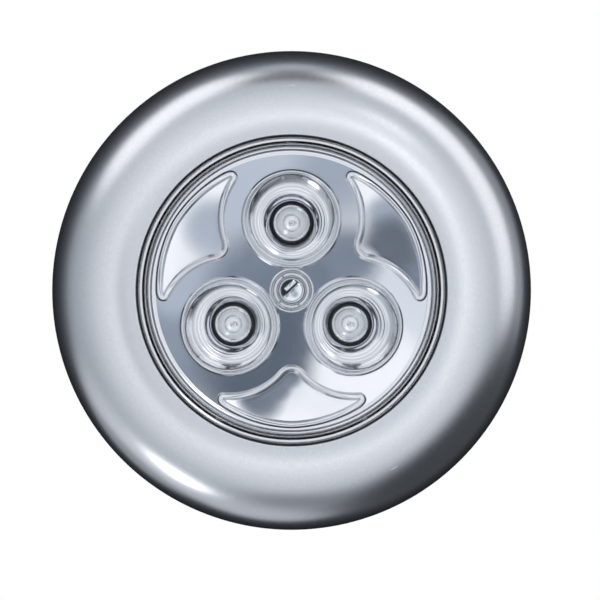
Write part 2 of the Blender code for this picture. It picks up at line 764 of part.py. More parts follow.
def cup_rings(place, low, high, grow):
    """Circles up a cup: a parabola from the LED's hole to the rim, leaning out from the centre."""
    outward = Vector(place).normalized()
    rings = []
    for index in range(CUP_RINGS + 1):
        share = index / CUP_RINGS
        radius = math.sqrt(cup_hole_radius ** 2 + (CUP_RADIUS ** 2 - cup_hole_radius ** 2) * share) + grow
        centre = Vector(place) + outward * CUP_LEAN * share
        rings.append((radius, low + (high - low) * share, centre))
    return rings


def bend(start, corner, end):
    """Points that round a corner, without the two ends."""
    made = []
    for step in range(1, OUTLINE_CORNER_STEPS):
        t = step / OUTLINE_CORNER_STEPS
        made.append(start.lerp(corner, t).lerp(corner.lerp(end, t), t))
    return made


def polar(radius, angle, centre=Vector((0, 0))):
    """A point at a radius and an angle about a centre."""
    return centre + Vector((math.cos(angle), math.sin(angle))) * radius


def outline_points(grow):
    """A three-cornered outline pointing down: hollow sides along two cups, and a round outer side."""
    cup_centre = polar(cup_place, LED_ANGLES[2])
    side_radius = cup_rim + OUTLINE_CUP_GAP
    apex = Vector((0, cup_centre.y - math.sqrt(side_radius ** 2 - cup_centre.x ** 2)))
    down = math.radians(-90)
    start = math.atan2(apex.y - cup_centre.y, apex.x - cup_centre.x) + OUTLINE_APEX_TURN
    right = []
    for index in range(OUTLINE_SIDE_STEPS + 1):
        angle = start + (OUTLINE_SIDE_END - start) * index / OUTLINE_SIDE_STEPS
        right.append(polar(side_radius, angle, cup_centre))
    outer = []
    for index in range(OUTLINE_SIDE_STEPS + 1):
        share = 1 - index / OUTLINE_SIDE_STEPS
        outer.append(polar(outline_outer - OUTLINE_TIP_DROP * share, down + OUTLINE_OUTER_SPAN * share))
    tip = polar(outline_outer - OUTLINE_TIP_DROP, down + OUTLINE_TIP_SPAN)
    right += bend(right[-1], tip, outer[0]) + outer
    mirrored = [Vector((-point.x, point.y)) for point in right[-2::-1]]
    loop = right + mirrored + bend(mirrored[-1], apex, right[0])
    return offset_loop(loop, grow)


def offset_loop(loop, distance):
    """Move each point of a clockwise loop sideways, outwards where the distance is positive."""
    made = []
    for index, point in enumerate(loop):
        along = (loop[(index + 1) % len(loop)] - loop[index - 1]).normalized()
        made.append(point + Vector((-along.y, along.x)) * distance)
    return made


def bead_ring(grow_out, grow_in):
    """A raised bead along the outline: a strip between two loops, in one piece."""
    shape = bmesh.new()
    for loop in (outline_points(grow_out), outline_points(grow_in)):
        points = [shape.verts.new((x, y, reflector_face - SINK)) for x, y in loop]
        for pair in zip(points, points[1:] + points[:1]):
            shape.edges.new(pair)
    bmesh.ops.bridge_loops(shape, edges=shape.edges[:])
    raised = bmesh.ops.extrude_face_region(shape, geom=shape.faces[:])
    moved = [item for item in raised["geom"] if isinstance(item, bmesh.types.BMVert)]
    bmesh.ops.translate(shape, verts=moved, vec=(0, 0, bead_top - reflector_face + SINK))
    bmesh.ops.recalc_face_normals(shape, faces=shape.faces)
    return shape


def make_reflector():
    """A thin metallised moulding: a deck with a skirt, three cups, a hub ring, beads and legs."""
    chrome = material("metallised plastic", (0.78, 0.79, 0.81), 0.06, 1.0)
    skirt_inner = reflector_radius - REFLECTOR_WALL
    edge_outer = edge_bead + BEAD_WIDTH / 4
    edge_inner = edge_bead - BEAD_WIDTH / 4
    deck_rear = reflector_face - REFLECTOR_WALL
    deck = turned([
        (hub_bore, deck_rear),
        (skirt_inner, deck_rear),
        (skirt_inner, reflector_face - REFLECTOR_SKIRT),
        (reflector_radius, reflector_face - REFLECTOR_SKIRT),
        (reflector_radius, reflector_face - BEAD_HEIGHT),
        (reflector_radius - BEAD_HEIGHT, reflector_face),
        (edge_outer, reflector_face),
        (edge_bead, reflector_face + BEAD_HEIGHT / 2),
        (edge_inner, reflector_face),
        (hub_ring, reflector_face),
        (hub_ring, bead_top),
        (hub_bore, bead_top),
    ], REFLECTOR_STEPS)
    joined = []
    cuts = []
    for place in led_places:
        low = cup_floor - REFLECTOR_WALL
        joined.append(stacked(cup_rings(place, low, reflector_face - SINK, REFLECTOR_WALL)))
        hollow = cup_rings(place, cup_floor, reflector_face, 0)
        radius, _, centre = hollow[0]
        hollow.insert(0, (radius, low - OVERRUN, centre))
        radius, height, centre = hollow[-1]
        hollow.append((radius, bead_top + OVERRUN, centre))
        cuts.append(stacked(hollow))
        joined.append(stacked([(cup_rim, height - SINK, centre), (cup_rim, bead_top, centre)]))
    for turn in OUTLINE_TURNS:
        joined.append(placed(bead_ring(BEAD_WIDTH / 2, -BEAD_WIDTH / 2), turn=turn))
    for place in board_screw_places:
        joined.append(rod(REFLECTOR_LEG_RADIUS, seat, reflector_face - SINK, place))
        pilot_top = tray_front + SCREW_BITE + OVERRUN
        cuts.append(rod(pilot_radius, seat - OVERRUN, pilot_top, place, SMALL_STEPS))
    low = (hub_ring - HUB_NOTCH_DEPTH, -HUB_NOTCH_WIDTH / 2, reflector_face + SEAT_GAP)
    high = (hub_ring + OVERRUN, HUB_NOTCH_WIDTH / 2, bead_top + OVERRUN)
    cuts.append(placed(box(low, high), turn=HUB_NOTCH_ANGLE))
    piece("reflector", deck, chrome, join=joined, cut=cuts)


def make_switch():
    """A round push switch: a case, a cover with a stepped edge, a slotted plunger and its spring."""
    nylon = material("switch nylon", (0.16, 0.16, 0.17), 0.5)
    cover = material("switch cover", (0.72, 0.73, 0.75), 0.2, 1.0)
    stem = material("switch stem", (0.75, 0.76, 0.78), 0.25)
    steel = material("switch spring steel", (0.6, 0.6, 0.61), 0.25, 1.0)
    bore = SWITCH_RADIUS - SWITCH_WALL
    piece("switch_case", turned([
        (0, seat),
        (SWITCH_RADIUS, seat),
        (SWITCH_RADIUS, plunger_flange_top),
        (bore, plunger_flange_top),
        (bore, case_floor),
        (0, case_floor),
    ], ROUND_STEPS), nylon)
    step_radius = (SWITCH_RADIUS + cover_hole) / 2
    piece("switch_cover", turned([
        (cover_hole, cover_rear),
        (SWITCH_RADIUS, cover_rear),
        (SWITCH_RADIUS, cover_front - COVER_STEP),
        (step_radius, cover_front - COVER_STEP),
        (step_radius, cover_front),
        (cover_hole, cover_front),
    ], ROUND_STEPS), cover)
    roof = plunger_top - PLUNGER_ROOF
    bore = PLUNGER_RADIUS - PLUNGER_WALL
    plunger = turned([
        (0, roof),
        (bore, roof),
        (bore, plunger_rear),
        (PLUNGER_FLANGE_RADIUS, plunger_rear),
        (PLUNGER_FLANGE_RADIUS, plunger_flange_top),
        (PLUNGER_RADIUS, plunger_flange_top),
        (PLUNGER_RADIUS, plunger_top),
        (0, plunger_top),
    ], ROUND_STEPS)
    low = (-SLOT_LENGTH / 2, -SLOT_WIDTH / 2, plunger_top - SLOT_DEPTH)
    high = (SLOT_LENGTH / 2, SLOT_WIDTH / 2, plunger_top + OVERRUN)
    piece("switch_plunger", plunger, stem, cut=[placed(box(low, high), turn=SLOT_ANGLE)])
    half = SWITCH_SPRING_WIRE / 2
    length = roof - case_floor - SEAT_GAP - SEAT_GAP - SWITCH_SPRING_WIRE
    points = coil(SWITCH_SPRING_RADIUS, SWITCH_SPRING_RADIUS, length, SWITCH_SPRING_TURNS)
    print("switch spring: least gap between turns", round(least_gap(points, SWITCH_SPRING_WIRE), 6))
    raised = [point + Vector((0, 0, case_floor + SEAT_GAP + half)) for point in points]
    wire("switch_spring", raised, half, COIL_RESOLUTION, steel)


def make_lens():
    """The clear front: a plate with a grooved rim, a skirt, a flange behind the lip and a post."""
    clear = material("clear plastic", (0.9, 0.92, 0.94), 0.03, alpha=0.3)
    rim_front = lens_front - LENS_RIM_DROP
    groove_outer = lens_radius - LENS_RIM_WIDTH
    groove_inner = groove_outer - LENS_GROOVE_WIDTH
    groove_floor = lens_front - LENS_GROOVE_DEPTH
    piece("lens", turned([
        (0, post_end),
        (LENS_POST_RADIUS, post_end),
        (LENS_POST_RADIUS, lens_rear),
        (lens_skirt_inner, lens_rear),
        (lens_skirt_inner, flange_rear),
        (lens_flange, flange_rear),
        (lens_flange, flange_front),
        (lens_radius, flange_front),
        (lens_radius, rim_front - LENS_EDGE_ROUND),
        (lens_radius - LENS_EDGE_ROUND, rim_front),
        (groove_outer, rim_front),
        (groove_outer, groove_floor),
        (groove_inner, groove_floor),
        (groove_inner, lens_front - LENS_EDGE_ROUND),
        (groove_inner - LENS_EDGE_ROUND, lens_front),
        (0, lens_front),
    ], LENS_STEPS), clear)


def make_leads():
    """A red and a black lead from the contacts' tabs to the back of the board."""
    height = tray_front + LEAD_LIFT
    start = contact_face - SEAT_GAP
    for name, side, colour in (("lead_red", 1, (0.55, 0.03, 0.03)), ("lead_black", -1, (0.02, 0.02, 0.02))):
        sleeve = material(name, colour, 0.4)
        route = [
            (side * start, side * cell_pitch, height),
            (side * (start - LEAD_STRAIGHT), side * cell_pitch, height),
            (side * (LEAD_END_X + LEAD_EASE), side * LEAD_END_Y, height),
            (side * LEAD_END_X, side * LEAD_END_Y, height),
        ]
        wire(name, smooth_route(route), LEAD_RADIUS, LEAD_RESOLUTION, sleeve)


clear_scene()
facing = bpy.data.objects.new("facing", None)
bpy.context.scene.collection.objects.link(facing)
facing.rotation_euler = (math.radians(90), 0, 0)
make_adhesive_pad()
make_base_plate()
make_housing()
make_battery_tray()
make_cells()
make_contacts()
make_battery_springs()
make_screws()
make_circuit_board()
make_resistors()
make_leds()
make_reflector()
make_switch()
make_lens()
make_leads()
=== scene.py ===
"""The looks of a round push light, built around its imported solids.

Pieces are modelled in millimetres with their height above the wall along +Z and the front's up
along +Y. STAND turns them to the part's own frame: the light faces -Y and up is +Z.
"""
import math

import bmesh
import bpy
from mathutils import Matrix, Vector


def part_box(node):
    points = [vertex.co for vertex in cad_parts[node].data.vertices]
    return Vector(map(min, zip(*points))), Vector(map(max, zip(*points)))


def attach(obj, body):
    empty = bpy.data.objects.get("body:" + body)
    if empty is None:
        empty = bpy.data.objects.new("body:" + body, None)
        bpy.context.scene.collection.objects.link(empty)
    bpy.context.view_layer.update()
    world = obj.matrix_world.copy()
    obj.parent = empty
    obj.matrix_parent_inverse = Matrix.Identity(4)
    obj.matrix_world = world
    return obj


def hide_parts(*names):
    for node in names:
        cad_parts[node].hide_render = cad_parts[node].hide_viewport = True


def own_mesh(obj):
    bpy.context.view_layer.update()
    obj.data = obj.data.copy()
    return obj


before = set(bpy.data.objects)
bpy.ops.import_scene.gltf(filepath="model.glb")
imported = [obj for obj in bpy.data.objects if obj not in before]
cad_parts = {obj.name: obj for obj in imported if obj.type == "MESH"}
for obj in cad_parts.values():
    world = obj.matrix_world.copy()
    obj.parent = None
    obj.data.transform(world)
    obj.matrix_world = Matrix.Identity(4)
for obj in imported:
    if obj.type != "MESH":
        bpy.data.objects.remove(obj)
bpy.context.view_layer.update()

MM = 0.001
STAND = Matrix.Rotation(math.radians(90), 4, "X") @ Matrix.Diagonal((MM, MM, MM, 1))
AXIS = Vector((0, 0, 1))
# Points that are closer than this are merged.
WELD = 0.0005
# Steps round the wide bodies, the ones as wide as a cup, and the small ones.
ROUND = 192
CUP_ROUND = 96
SMALL_ROUND = 72
LED_PLACE = 9.13
LED_ANGLES = [math.radians(angle) for angle in (90, 210, 330)]
LUG_ANGLES = [math.radians(angle) for angle in (0, 120, 240)]
BOSS_ANGLES = [math.radians(angle) for angle in (90, 240, 300)]


# Materials

# Blender's noise keeps mostly between these two greys.
NOISE_LOW = 0.3
NOISE_HIGH = 0.7
# Along Y, the silver coat is full in front of the first place and dry behind the second.
COAT_FULL = -15.2
COAT_DRY = -5
DRY_COAT_ROUGHNESS = 0.18
DRY_COAT_METALLIC = 0.6


def linear(hex_colour):
    """An sRGB hex colour as the linear RGBA that Blender's sockets take."""
    shares = [int(hex_colour[i:i + 2], 16) / 255 for i in (1, 3, 5)]
    return (*[s / 12.92 if s <= 0.04045 else ((s + 0.055) / 1.055) ** 2.4 for s in shares], 1.0)


def add(tree, kind, inputs=None, **settings):
    """One node with its settings, and with constants or links on its inputs."""
    made = tree.nodes.new(kind)
    for name, value in settings.items():
        setattr(made, name, value)
    for name, value in (inputs or {}).items():
        if isinstance(value, bpy.types.NodeSocket):
            tree.links.new(value, made.inputs[name])
        else:
            made.inputs[name].default_value = value
    return made


def finish_of(name, colour, **sockets):
    """A Principled material with constants on its sockets, and its nodes for more."""
    made = bpy.data.materials.new(name)
    made.use_nodes = True
    tree = made.node_tree
    surface = tree.nodes["Principled BSDF"]
    surface.inputs["Base Color"].default_value = linear(colour)
    for socket, value in sockets.items():
        surface.inputs[socket.replace("_", " ")].default_value = value
    place = add(tree, "ShaderNodeTexCoord").outputs["Object"]
    return made, tree, surface, place


def per_mm(size):
    """The scale of a pattern on coordinates in metres whose cells are this many millimetres."""
    return 1 / (size * MM)


def noise(tree, place, size, detail, **inputs):
    """The grey of a noise whose features are this many millimetres."""
    settings = {"Vector": place, "Scale": per_mm(size), "Detail": detail, **inputs}
    return add(tree, "ShaderNodeTexNoise", settings).outputs["Fac"]


def spread(tree, grey, low, high):
    """A noise's grey spread over the range between two values."""
    return add(tree, "ShaderNodeMapRange", {
        "Value": grey, "From Min": NOISE_LOW, "From Max": NOISE_HIGH, "To Min": low, "To Max": high,
    }).outputs["Result"]


def blend(tree, share, first, second):
    """A colour between two others."""
    settings = {"Factor": share, "A": first, "B": second}
    return add(tree, "ShaderNodeMix", settings, data_type="RGBA").outputs["Result"]


def tint(tree, surface, share, low, high):
    """Colour a surface between two hex colours."""
    tree.links.new(blend(tree, share, linear(low), linear(high)), surface.inputs["Base Color"])


def emboss(tree, surface, height, strength, depth, **settings):
    """Give a surface fine relief that is this many millimetres deep."""
    inputs = {"Height": height, "Strength": strength, "Distance": depth * MM}
    made = add(tree, "ShaderNodeBump", inputs, **settings)
    tree.links.new(made.outputs["Normal"], surface.inputs["Normal"])


def satin_silver_paint():
    """Sprayed silver lacquer on moulded ABS: fine aluminium flake under a satin binder.

    The eye sees a soft, slightly cool metal sheen with a faint sparkle and no sharp reflections. The
    skirt behind the widest point catches the spray at a slant, so its coat is drier, paler and flatter.
    """
    made, tree, surface, place = finish_of("satin_silver_paint", "#F0F1F5", Metallic=1.0)
    flake = add(tree, "ShaderNodeTexVoronoi", {"Vector": place, "Scale": per_mm(0.16)}, feature="F1")
    tint(tree, surface, flake.outputs["Color"], "#F1F2F6", "#F9FAFC")
    mottle = noise(tree, place, 0.45, 3.0)
    grain = spread(tree, mottle, 0.23, 0.27)
    depth = add(tree, "ShaderNodeSeparateXYZ", {"Vector": place})
    skirt = add(tree, "ShaderNodeMapRange", {
        "Value": depth.outputs["Y"], "From Min": COAT_FULL * MM, "From Max": COAT_DRY * MM,
    }, interpolation_type="SMOOTHSTEP").outputs["Result"]
    dry = add(tree, "ShaderNodeMath", {0: skirt, 1: DRY_COAT_ROUGHNESS, 2: grain}, operation="MULTIPLY_ADD")
    tree.links.new(dry.outputs["Value"], surface.inputs["Roughness"])
    bright = add(tree, "ShaderNodeMapRange", {"Value": skirt, "To Min": 1.0, "To Max": DRY_COAT_METALLIC})
    tree.links.new(bright.outputs["Result"], surface.inputs["Metallic"])
    emboss(tree, surface, mottle, 0.03, 0.02)
    return made


def bright_vacuum_metal():
    """Aluminium evaporated on moulded polystyrene under lacquer: a bright mirror, a little soft."""
    made, tree, surface, place = finish_of("vacuum_metallised_polystyrene", "#F5F6FA", Metallic=1.0)
    haze = noise(tree, place, 2.5, 4.0)
    tree.links.new(spread(tree, haze, 0.025, 0.045), surface.inputs["Roughness"])
    return made


def clear_acrylic():
    """Polished injection-moulded acrylic: water clear, with a crisp edge."""
    made, tree, surface, place = finish_of(
        "clear_moulded_acrylic", "#FFFFFF", Transmission_Weight=1.0, IOR=1.491)
    wisp = noise(tree, place, 6, 2.0)
    tree.links.new(spread(tree, wisp, 0.0, 0.012), surface.inputs["Roughness"])
    return made


def led_epoxy():
    """Clear cast epoxy: glossy, with slight flow lines from casting."""
    made, tree, surface, place = finish_of(
        "clear_cast_epoxy", "#FBFCFF", Transmission_Weight=1.0, IOR=1.53, Roughness=0.01)
    emboss(tree, surface, noise(tree, place, 1.2, 2.0), 0.25, 0.05)
    return made


def plated(name, low, high, rough, grain_mm, stretch=(1, 1, 1), relief=0.12):
    """Plated metal: two near tones and a fine grain, which a stretch draws out along one way."""
    made, tree, surface, place = finish_of(name, low, Metallic=1.0)
    along = add(tree, "ShaderNodeMapping", {"Vector": place, "Scale": stretch})
    grain = noise(tree, along.outputs["Vector"], grain_mm, 4.0)
    tint(tree, surface, grain, low, high)
    tree.links.new(spread(tree, grain, rough * 0.8, rough * 1.2), surface.inputs["Roughness"])
    emboss(tree, surface, grain, relief, 0.02)
    return made


def moulded(name, low, high, rough, grain_mm, depth):
    """Moulded plastic from an etched or polished tool: an even colour with a fine, shallow grain."""
    made, tree, surface, place = finish_of(name, low)
    tint(tree, surface, noise(tree, place, grain_mm * 12, 3.0), low, high)
    grain = noise(tree, place, grain_mm, 5.0, Roughness=0.6)
    tree.links.new(spread(tree, grain, rough - 0.05, rough + 0.05), surface.inputs["Roughness"])
    emboss(tree, surface, grain, 0.6, depth)
    return made


def closed_cell_foam():
    """White polyethylene foam tape: matte, with small closed cells about 0.4 mm wide."""
    made, tree, surface, place = finish_of("closed_cell_foam", "#ECEBE6", Roughness=0.95)
    pattern = {"Vector": place, "Scale": per_mm(0.4)}
    cells = add(tree, "ShaderNodeTexVoronoi", pattern, feature="DISTANCE_TO_EDGE")
    wall = add(tree, "ShaderNodeMapRange", {"Value": cells.outputs["Distance"], "From Max": 0.12})
    tint(tree, surface, wall.outputs["Result"], "#F4F3EF", "#DDDBD4")
    emboss(tree, surface, wall.outputs["Result"], 0.5, 0.05, invert=True)
    return made


def solder_resist():
    """Dark green solder resist on glass epoxy: glossy, with the woven glass just showing at 0.5 mm."""
    made, tree, surface, place = finish_of("dark_green_solder_resist", "#0B2417", Roughness=0.35)
    weave = add(tree, "ShaderNodeTexChecker", {
        "Vector": place, "Scale": per_mm(0.5), "Color1": linear("#0A2014"), "Color2": linear("#0E2A1A"),
    })
    tree.links.new(weave.outputs["Color"], surface.inputs["Base Color"])
    emboss(tree, surface, weave.outputs["Fac"], 0.15, 0.02)
    return made


SILVER_PAINT = satin_silver_paint()
REFLECTOR_METAL = bright_vacuum_metal()
ACRYLIC = clear_acrylic()
EPOXY = led_epoxy()
FOAM = closed_cell_foam()
BOARD = solder_resist()
# Charcoal ABS from a spark-eroded tool: a dry, even grain that scatters light softly.
BASE_ABS = moulded("charcoal_textured_abs", "#35363A", "#3E4044", 0.55, 0.22, 0.05)
# Black ABS from a plain machined tool: smooth, with a low sheen.
TRAY_ABS = moulded("black_moulded_abs", "#1D1E20", "#26272A", 0.45, 0.3, 0.03)
# Black nylon switch case: matte and slightly waxy.
NYLON = moulded("black_nylon", "#222326", "#2B2C2F", 0.5, 0.15, 0.02)
# Chrome on the switch's stem and its cover: bright, a little softer than the reflector.
STEM = plated("chromed_stem", "#E6E9EE", "#F0F2F6", 0.06, 0.4)
# Nickel on brass strip, rolled: a warm grey with a grain along the strip.
NICKEL = plated("nickel_plated_strip", "#B5B1A8", "#C6C3BA", 0.28, 0.25, stretch=(1, 0.15, 1))
# Tempered spring wire, bright drawn: grain along the wire is too fine to show.
SPRING = plated("drawn_spring_wire", "#A9ABAF", "#C0C2C6", 0.24, 0.2)
# Zinc plated screws: pale, slightly blue and cloudy.
ZINC = plated("zinc_plated_steel", "#B2B6BC", "#C9CCD0", 0.32, 0.35)
# Silver-plated lead frame inside an LED: white metal.
LEAD_FRAME = plated("silver_plated_lead_frame", "#F2F3F3", "#FCFCFB", 0.12, 0.4, relief=0.7)
# Printed-film cell jackets without print: deep blue-grey and glossy.
JACKET = moulded("shrink_film_jacket", "#1C2633", "#222E3D", 0.22, 1.5, 0.01)
# Alumina and glass chip resistors: near black and glazed.
CHIP = moulded("glazed_chip", "#141416", "#1D1D20", 0.3, 0.2, 0.01)
# Vinyl insulation on thin leads: soft gloss, slightly uneven.
RED_VINYL = moulded("red_vinyl", "#A81B1B", "#B62222", 0.4, 0.5, 0.02)
BLACK_VINYL = moulded("black_vinyl", "#161617", "#1F1F21", 0.4, 0.5, 0.02)


# Shaping

# In roundings: where a flat's extra point lies, and the shortest flat that gets one.
FLAT_POINT = 1.4
SHORT_FLAT = 4


def heights(node):
    """The rear and front of a CAD node, in millimetres above the wall."""
    low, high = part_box(node)
    return -high[1] / MM, -low[1] / MM


def radius_of(node):
    """Half the width of a CAD node, in millimetres."""
    low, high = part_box(node)
    return (high[0] - low[0]) / 2 / MM


def rounded(corners, steps=5):
    """A profile of (radius, height) points from corners that each have a rounding as well.

    A point just beyond each end of a rounding keeps the flat beside it flat where it is shaded smooth.
    """
    points = []
    for index, (across, up, rounding) in enumerate(corners):
        corner = Vector((across, up))
        if not rounding:
            points.append(corner)
            continue
        back = Vector(corners[index - 1][:2]) - corner
        ahead = Vector(corners[(index + 1) % len(corners)][:2]) - corner
        before = back.normalized() * rounding + corner
        after = ahead.normalized() * rounding + corner
        if back.length > SHORT_FLAT * rounding:
            points.append(back.normalized() * rounding * FLAT_POINT + corner)
        for step in range(steps + 1):
            t = step / steps
            points.append(before.lerp(corner, t).lerp(corner.lerp(after, t), t))
        if ahead.length > SHORT_FLAT * rounding:
            points.append(ahead.normalized() * rounding * FLAT_POINT + corner)
    return [tuple(point) for point in points]


def lifted(corners, height):
    """Corners whose heights are measured from another height."""
    return [(across, height + up, rounding) for across, up, rounding in corners]


def spun(profile, steps=ROUND):
    """A closed body from a profile turned about the Z axis."""
    shape = bmesh.new()
    points = [shape.verts.new((across, 0, up)) for across, up in profile]
    on_axis = profile[0][0] == 0
    ends = points[1:] if on_axis else points[1:] + points[:1]
    edges = [shape.edges.new(pair) for pair in zip(points, ends)]
    bmesh.ops.spin(
        shape, geom=points + edges, cent=(0, 0, 0), axis=AXIS, angle=math.tau, steps=steps, use_merge=True)
    bmesh.ops.remove_doubles(shape, verts=shape.verts, dist=WELD)
    bmesh.ops.recalc_face_normals(shape, faces=shape.faces)
    return shape


def disc(radius, low, high, low_edge=0, high_edge=0, steps=SMALL_ROUND):
    """A solid disc between two heights, with its edges rounded if asked."""
    corners = [(0, low, 0), (radius, low, low_edge), (radius, high, high_edge), (0, high, 0)]
    return spun(rounded(corners), steps)


def take_in(shape, other):
    """Put another bmesh's shape into this one."""
    mesh = bpy.data.meshes.new("taken")
    other.to_mesh(mesh)
    other.free()
    shape.from_mesh(mesh)
    bpy.data.meshes.remove(mesh)
    return shape


def moved(shape, x=0, y=0, turn=0):
    """Turn a shape about the Z axis, then move it."""
    bmesh.ops.rotate(shape, verts=shape.verts, cent=(0, 0, 0), matrix=Matrix.Rotation(turn, 3, "Z"))
    bmesh.ops.translate(shape, verts=shape.verts, vec=(x, y, 0))
    return shape


def block(low, high, bevel):
    """A box between two corners, with bevelled edges."""
    shape = bmesh.new()
    low = Vector(low)
    high = Vector(high)
    place = Matrix.Translation((low + high) / 2) @ Matrix.Diagonal((*(high - low), 1))
    bmesh.ops.create_cube(shape, size=1, matrix=place)
    bmesh.ops.bevel(
        shape, geom=shape.edges[:], offset=bevel, segments=3, profile=0.5, affect="EDGES", material=-1)
    return shape


def placed(name, shape, material=None):
    """A new object of the scene, made from a shape that is then freed."""
    mesh = bpy.data.meshes.new(name)
    shape.to_mesh(mesh)
    shape.free()
    if material:
        mesh.materials.append(material)
    made = bpy.data.objects.new(name, mesh)
    bpy.context.scene.collection.objects.link(made)
    return made


def finished(name, shape, material, body, replaced=(), angle=28):
    """One visible piece: stood up in the part's frame, smoothed, and riding on its body."""
    bmesh.ops.transform(shape, matrix=STAND, verts=shape.verts)
    made = placed(name, shape, material)
    made.data.shade_smooth()
    made.data.set_sharp_from_angle(angle=math.radians(angle))
    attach(made, body)
    if replaced:
        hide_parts(*replaced)
    return made


def cut_out(piece, tool_shape):
    """Cut a shape out of a finished piece."""
    bmesh.ops.transform(tool_shape, matrix=STAND, verts=tool_shape.verts)
    tool = placed("tool", tool_shape)
    cut = piece.modifiers.new("cut", "BOOLEAN")
    cut.operation = "DIFFERENCE"
    cut.object = tool
    cut.solver = "EXACT"
    graph = bpy.context.evaluated_depsgraph_get()
    result = bpy.data.meshes.new_from_object(piece.evaluated_get(graph))
    piece.modifiers.remove(cut)
    piece.data = result
    result.set_sharp_from_angle(angle=math.radians(30))
    bpy.data.objects.remove(tool)


# Housing

HOUSING_REAR, HOUSING_FACE = heights("housing")
BODY_RADIUS = radius_of("housing")
LENS_OPENING = 21.05
WALL = 1.6
# Where the shell is widest, and how square its shoulder is.
SHOULDER = HOUSING_FACE - 9.2
SHOULDER_POWER = 2.3
# From the opening's edge to where the shoulder starts, outside and inside.
LIP_FLAT = 0.3
LIP_SHELF = 1.55
REAR_TAPER = 0.9
# Screw bosses: they end over the tray's deck, past which its posts reach, and start in the face's wall.
BOSS_BORE = 1.05
BOSS_RADIUS = 2.4
BOSS_PLACE = 25.4
BOSS_GAP = 0.1
BOSS_ROOT = 1.2
TRAY_POST = 1.2


def shoulder(centre, outer, top, steps=40):
    """The rounded shoulder from the face out to the widest point."""
    points = []
    for index in range(steps + 1):
        angle = math.radians(90) * (1 - index / steps)
        across = math.cos(angle) ** (2 / SHOULDER_POWER) if index else 0
        up = math.sin(angle) ** (2 / SHOULDER_POWER) if index < steps else 0
        points.append((centre + (outer - centre) * across, SHOULDER + (top - SHOULDER) * up))
    return points


def make_housing():
    """The silver shell with softened edges at its lip and its rear, and its screw bosses."""
    lip = LENS_OPENING
    lip_rear = HOUSING_FACE - WALL
    rear = BODY_RADIUS - REAR_TAPER
    outside = shoulder(lip + LIP_FLAT, BODY_RADIUS, HOUSING_FACE)
    inside = shoulder(lip + LIP_SHELF, BODY_RADIUS - WALL, lip_rear)
    edge = rounded([
        (lip + LIP_FLAT, HOUSING_FACE, 0), (lip, HOUSING_FACE, 0.16),
        (lip, lip_rear, 0.1), (lip + LIP_SHELF, lip_rear, 0),
    ])
    foot = rounded([
        (BODY_RADIUS - WALL, SHOULDER, 0), (rear - WALL, HOUSING_REAR, 0.2),
        (rear, HOUSING_REAR, 0.35), (BODY_RADIUS, SHOULDER, 0),
    ])
    shape = spun(edge[:-1] + inside + foot[1:-1] + outside[::-1][:-1])
    low = heights("battery_tray")[1] - TRAY_POST + BOSS_GAP
    high = HOUSING_FACE - BOSS_ROOT
    section = [(BOSS_BORE, low), (BOSS_RADIUS, low), (BOSS_RADIUS, high), (BOSS_BORE, high)]
    for angle in BOSS_ANGLES:
        boss = spun(section, SMALL_ROUND)
        take_in(shape, moved(boss, BOSS_PLACE * math.cos(angle), BOSS_PLACE * math.sin(angle)))
    finished("housing_shell", shape, SILVER_PAINT, "head", ["housing"])


# Lens

LENS_REAR_POST, LENS_FRONT = heights("lens")
LENS_RADIUS = 20.7
LENS_THICKNESS = 1.8
LENS_POST = 2.4
LENS_SKIRT = 19.6
# The flange's front and rear, behind the housing's lip.
FLANGE_GAP = 0.1
FLANGE_DEPTH = 1.0
# The stepped border, from its outer edge to the face: radius, height from the face, rounding.
LENS_BORDER = [
    (LENS_RADIUS, -0.25, 0.22), (20.2, -0.2, 0.05), (19.9, -0.75, 0.04), (19.82, -0.75, 0.03),
    (19.8, 0, 0.12),
]


def make_lens():
    """The clear front: a plate with a stepped and grooved border, a skirt, a flange and a post."""
    rear = LENS_FRONT - LENS_THICKNESS
    lip_rear = HOUSING_FACE - WALL
    flange = radius_of("lens")
    profile = rounded([
        (0, LENS_REAR_POST, 0),
        (LENS_POST, LENS_REAR_POST, 0.08),
        (LENS_POST, rear, 0.15),
        (LENS_SKIRT, rear, 0.2),
        (LENS_SKIRT, lip_rear - FLANGE_DEPTH, 0.08),
        (flange, lip_rear - FLANGE_DEPTH, 0.15),
        (flange, lip_rear - FLANGE_GAP, 0.1),
        (LENS_RADIUS, lip_rear - FLANGE_GAP, 0.1),
        *lifted(LENS_BORDER, LENS_FRONT),
        (0, LENS_FRONT, 0),
    ])
    finished("lens_clear", spun(profile), ACRYLIC, "lens", ["lens"])


# Reflector

BEAD_HEIGHT = 0.3
DECK = heights("reflector")[1] - BEAD_HEIGHT
SEAT = heights("switch_case")[0]
DECK_EDGE = 18.4
DISH_DEPTH = 0.35
# The edge beyond the deck: a roll, a ledge and the brim under the lens's skirt, as (radius, height).
ROLLED_EDGE = [
    (18.47, 0.01), (18.6, 0.033), (18.84, 0.074), (18.9, 0.08), (18.95, 0.07), (18.99, 0.04), (19.02, -0.02),
    (19.05, -0.12), (19.08, -0.36), (19.11, -0.44), (19.16, -0.47), (19.22, -0.465), (19.44, -0.428),
    (19.48, -0.44), (19.5, -0.5), (19.52, -1.0), (19.54, -1.52), (19.6, -1.56), (20.42, -1.37), (20.48, -1.4),
    (20.5, -1.46), (20.5, -2.2), (19.2, -2.2),
]
# The hub's hole in the deck, and its collar.
HUB_HOLE = 2.74
HUB_BORE = 2.65
HUB_RADIUS = 3.0
HUB_DEPTH = 1.3
HUB_DROP = 0.42


def polar(radius, angle, centre=Vector((0, 0))):
    """A point at a radius and an angle about a centre."""
    return centre + Vector((math.cos(angle), math.sin(angle))) * radius


def closed_loop(shape, points):
    """A loop of edges through these points."""
    verts = [shape.verts.new(point) for point in points]
    return [shape.edges.new(pair) for pair in zip(verts, verts[1:] + verts[:1])]


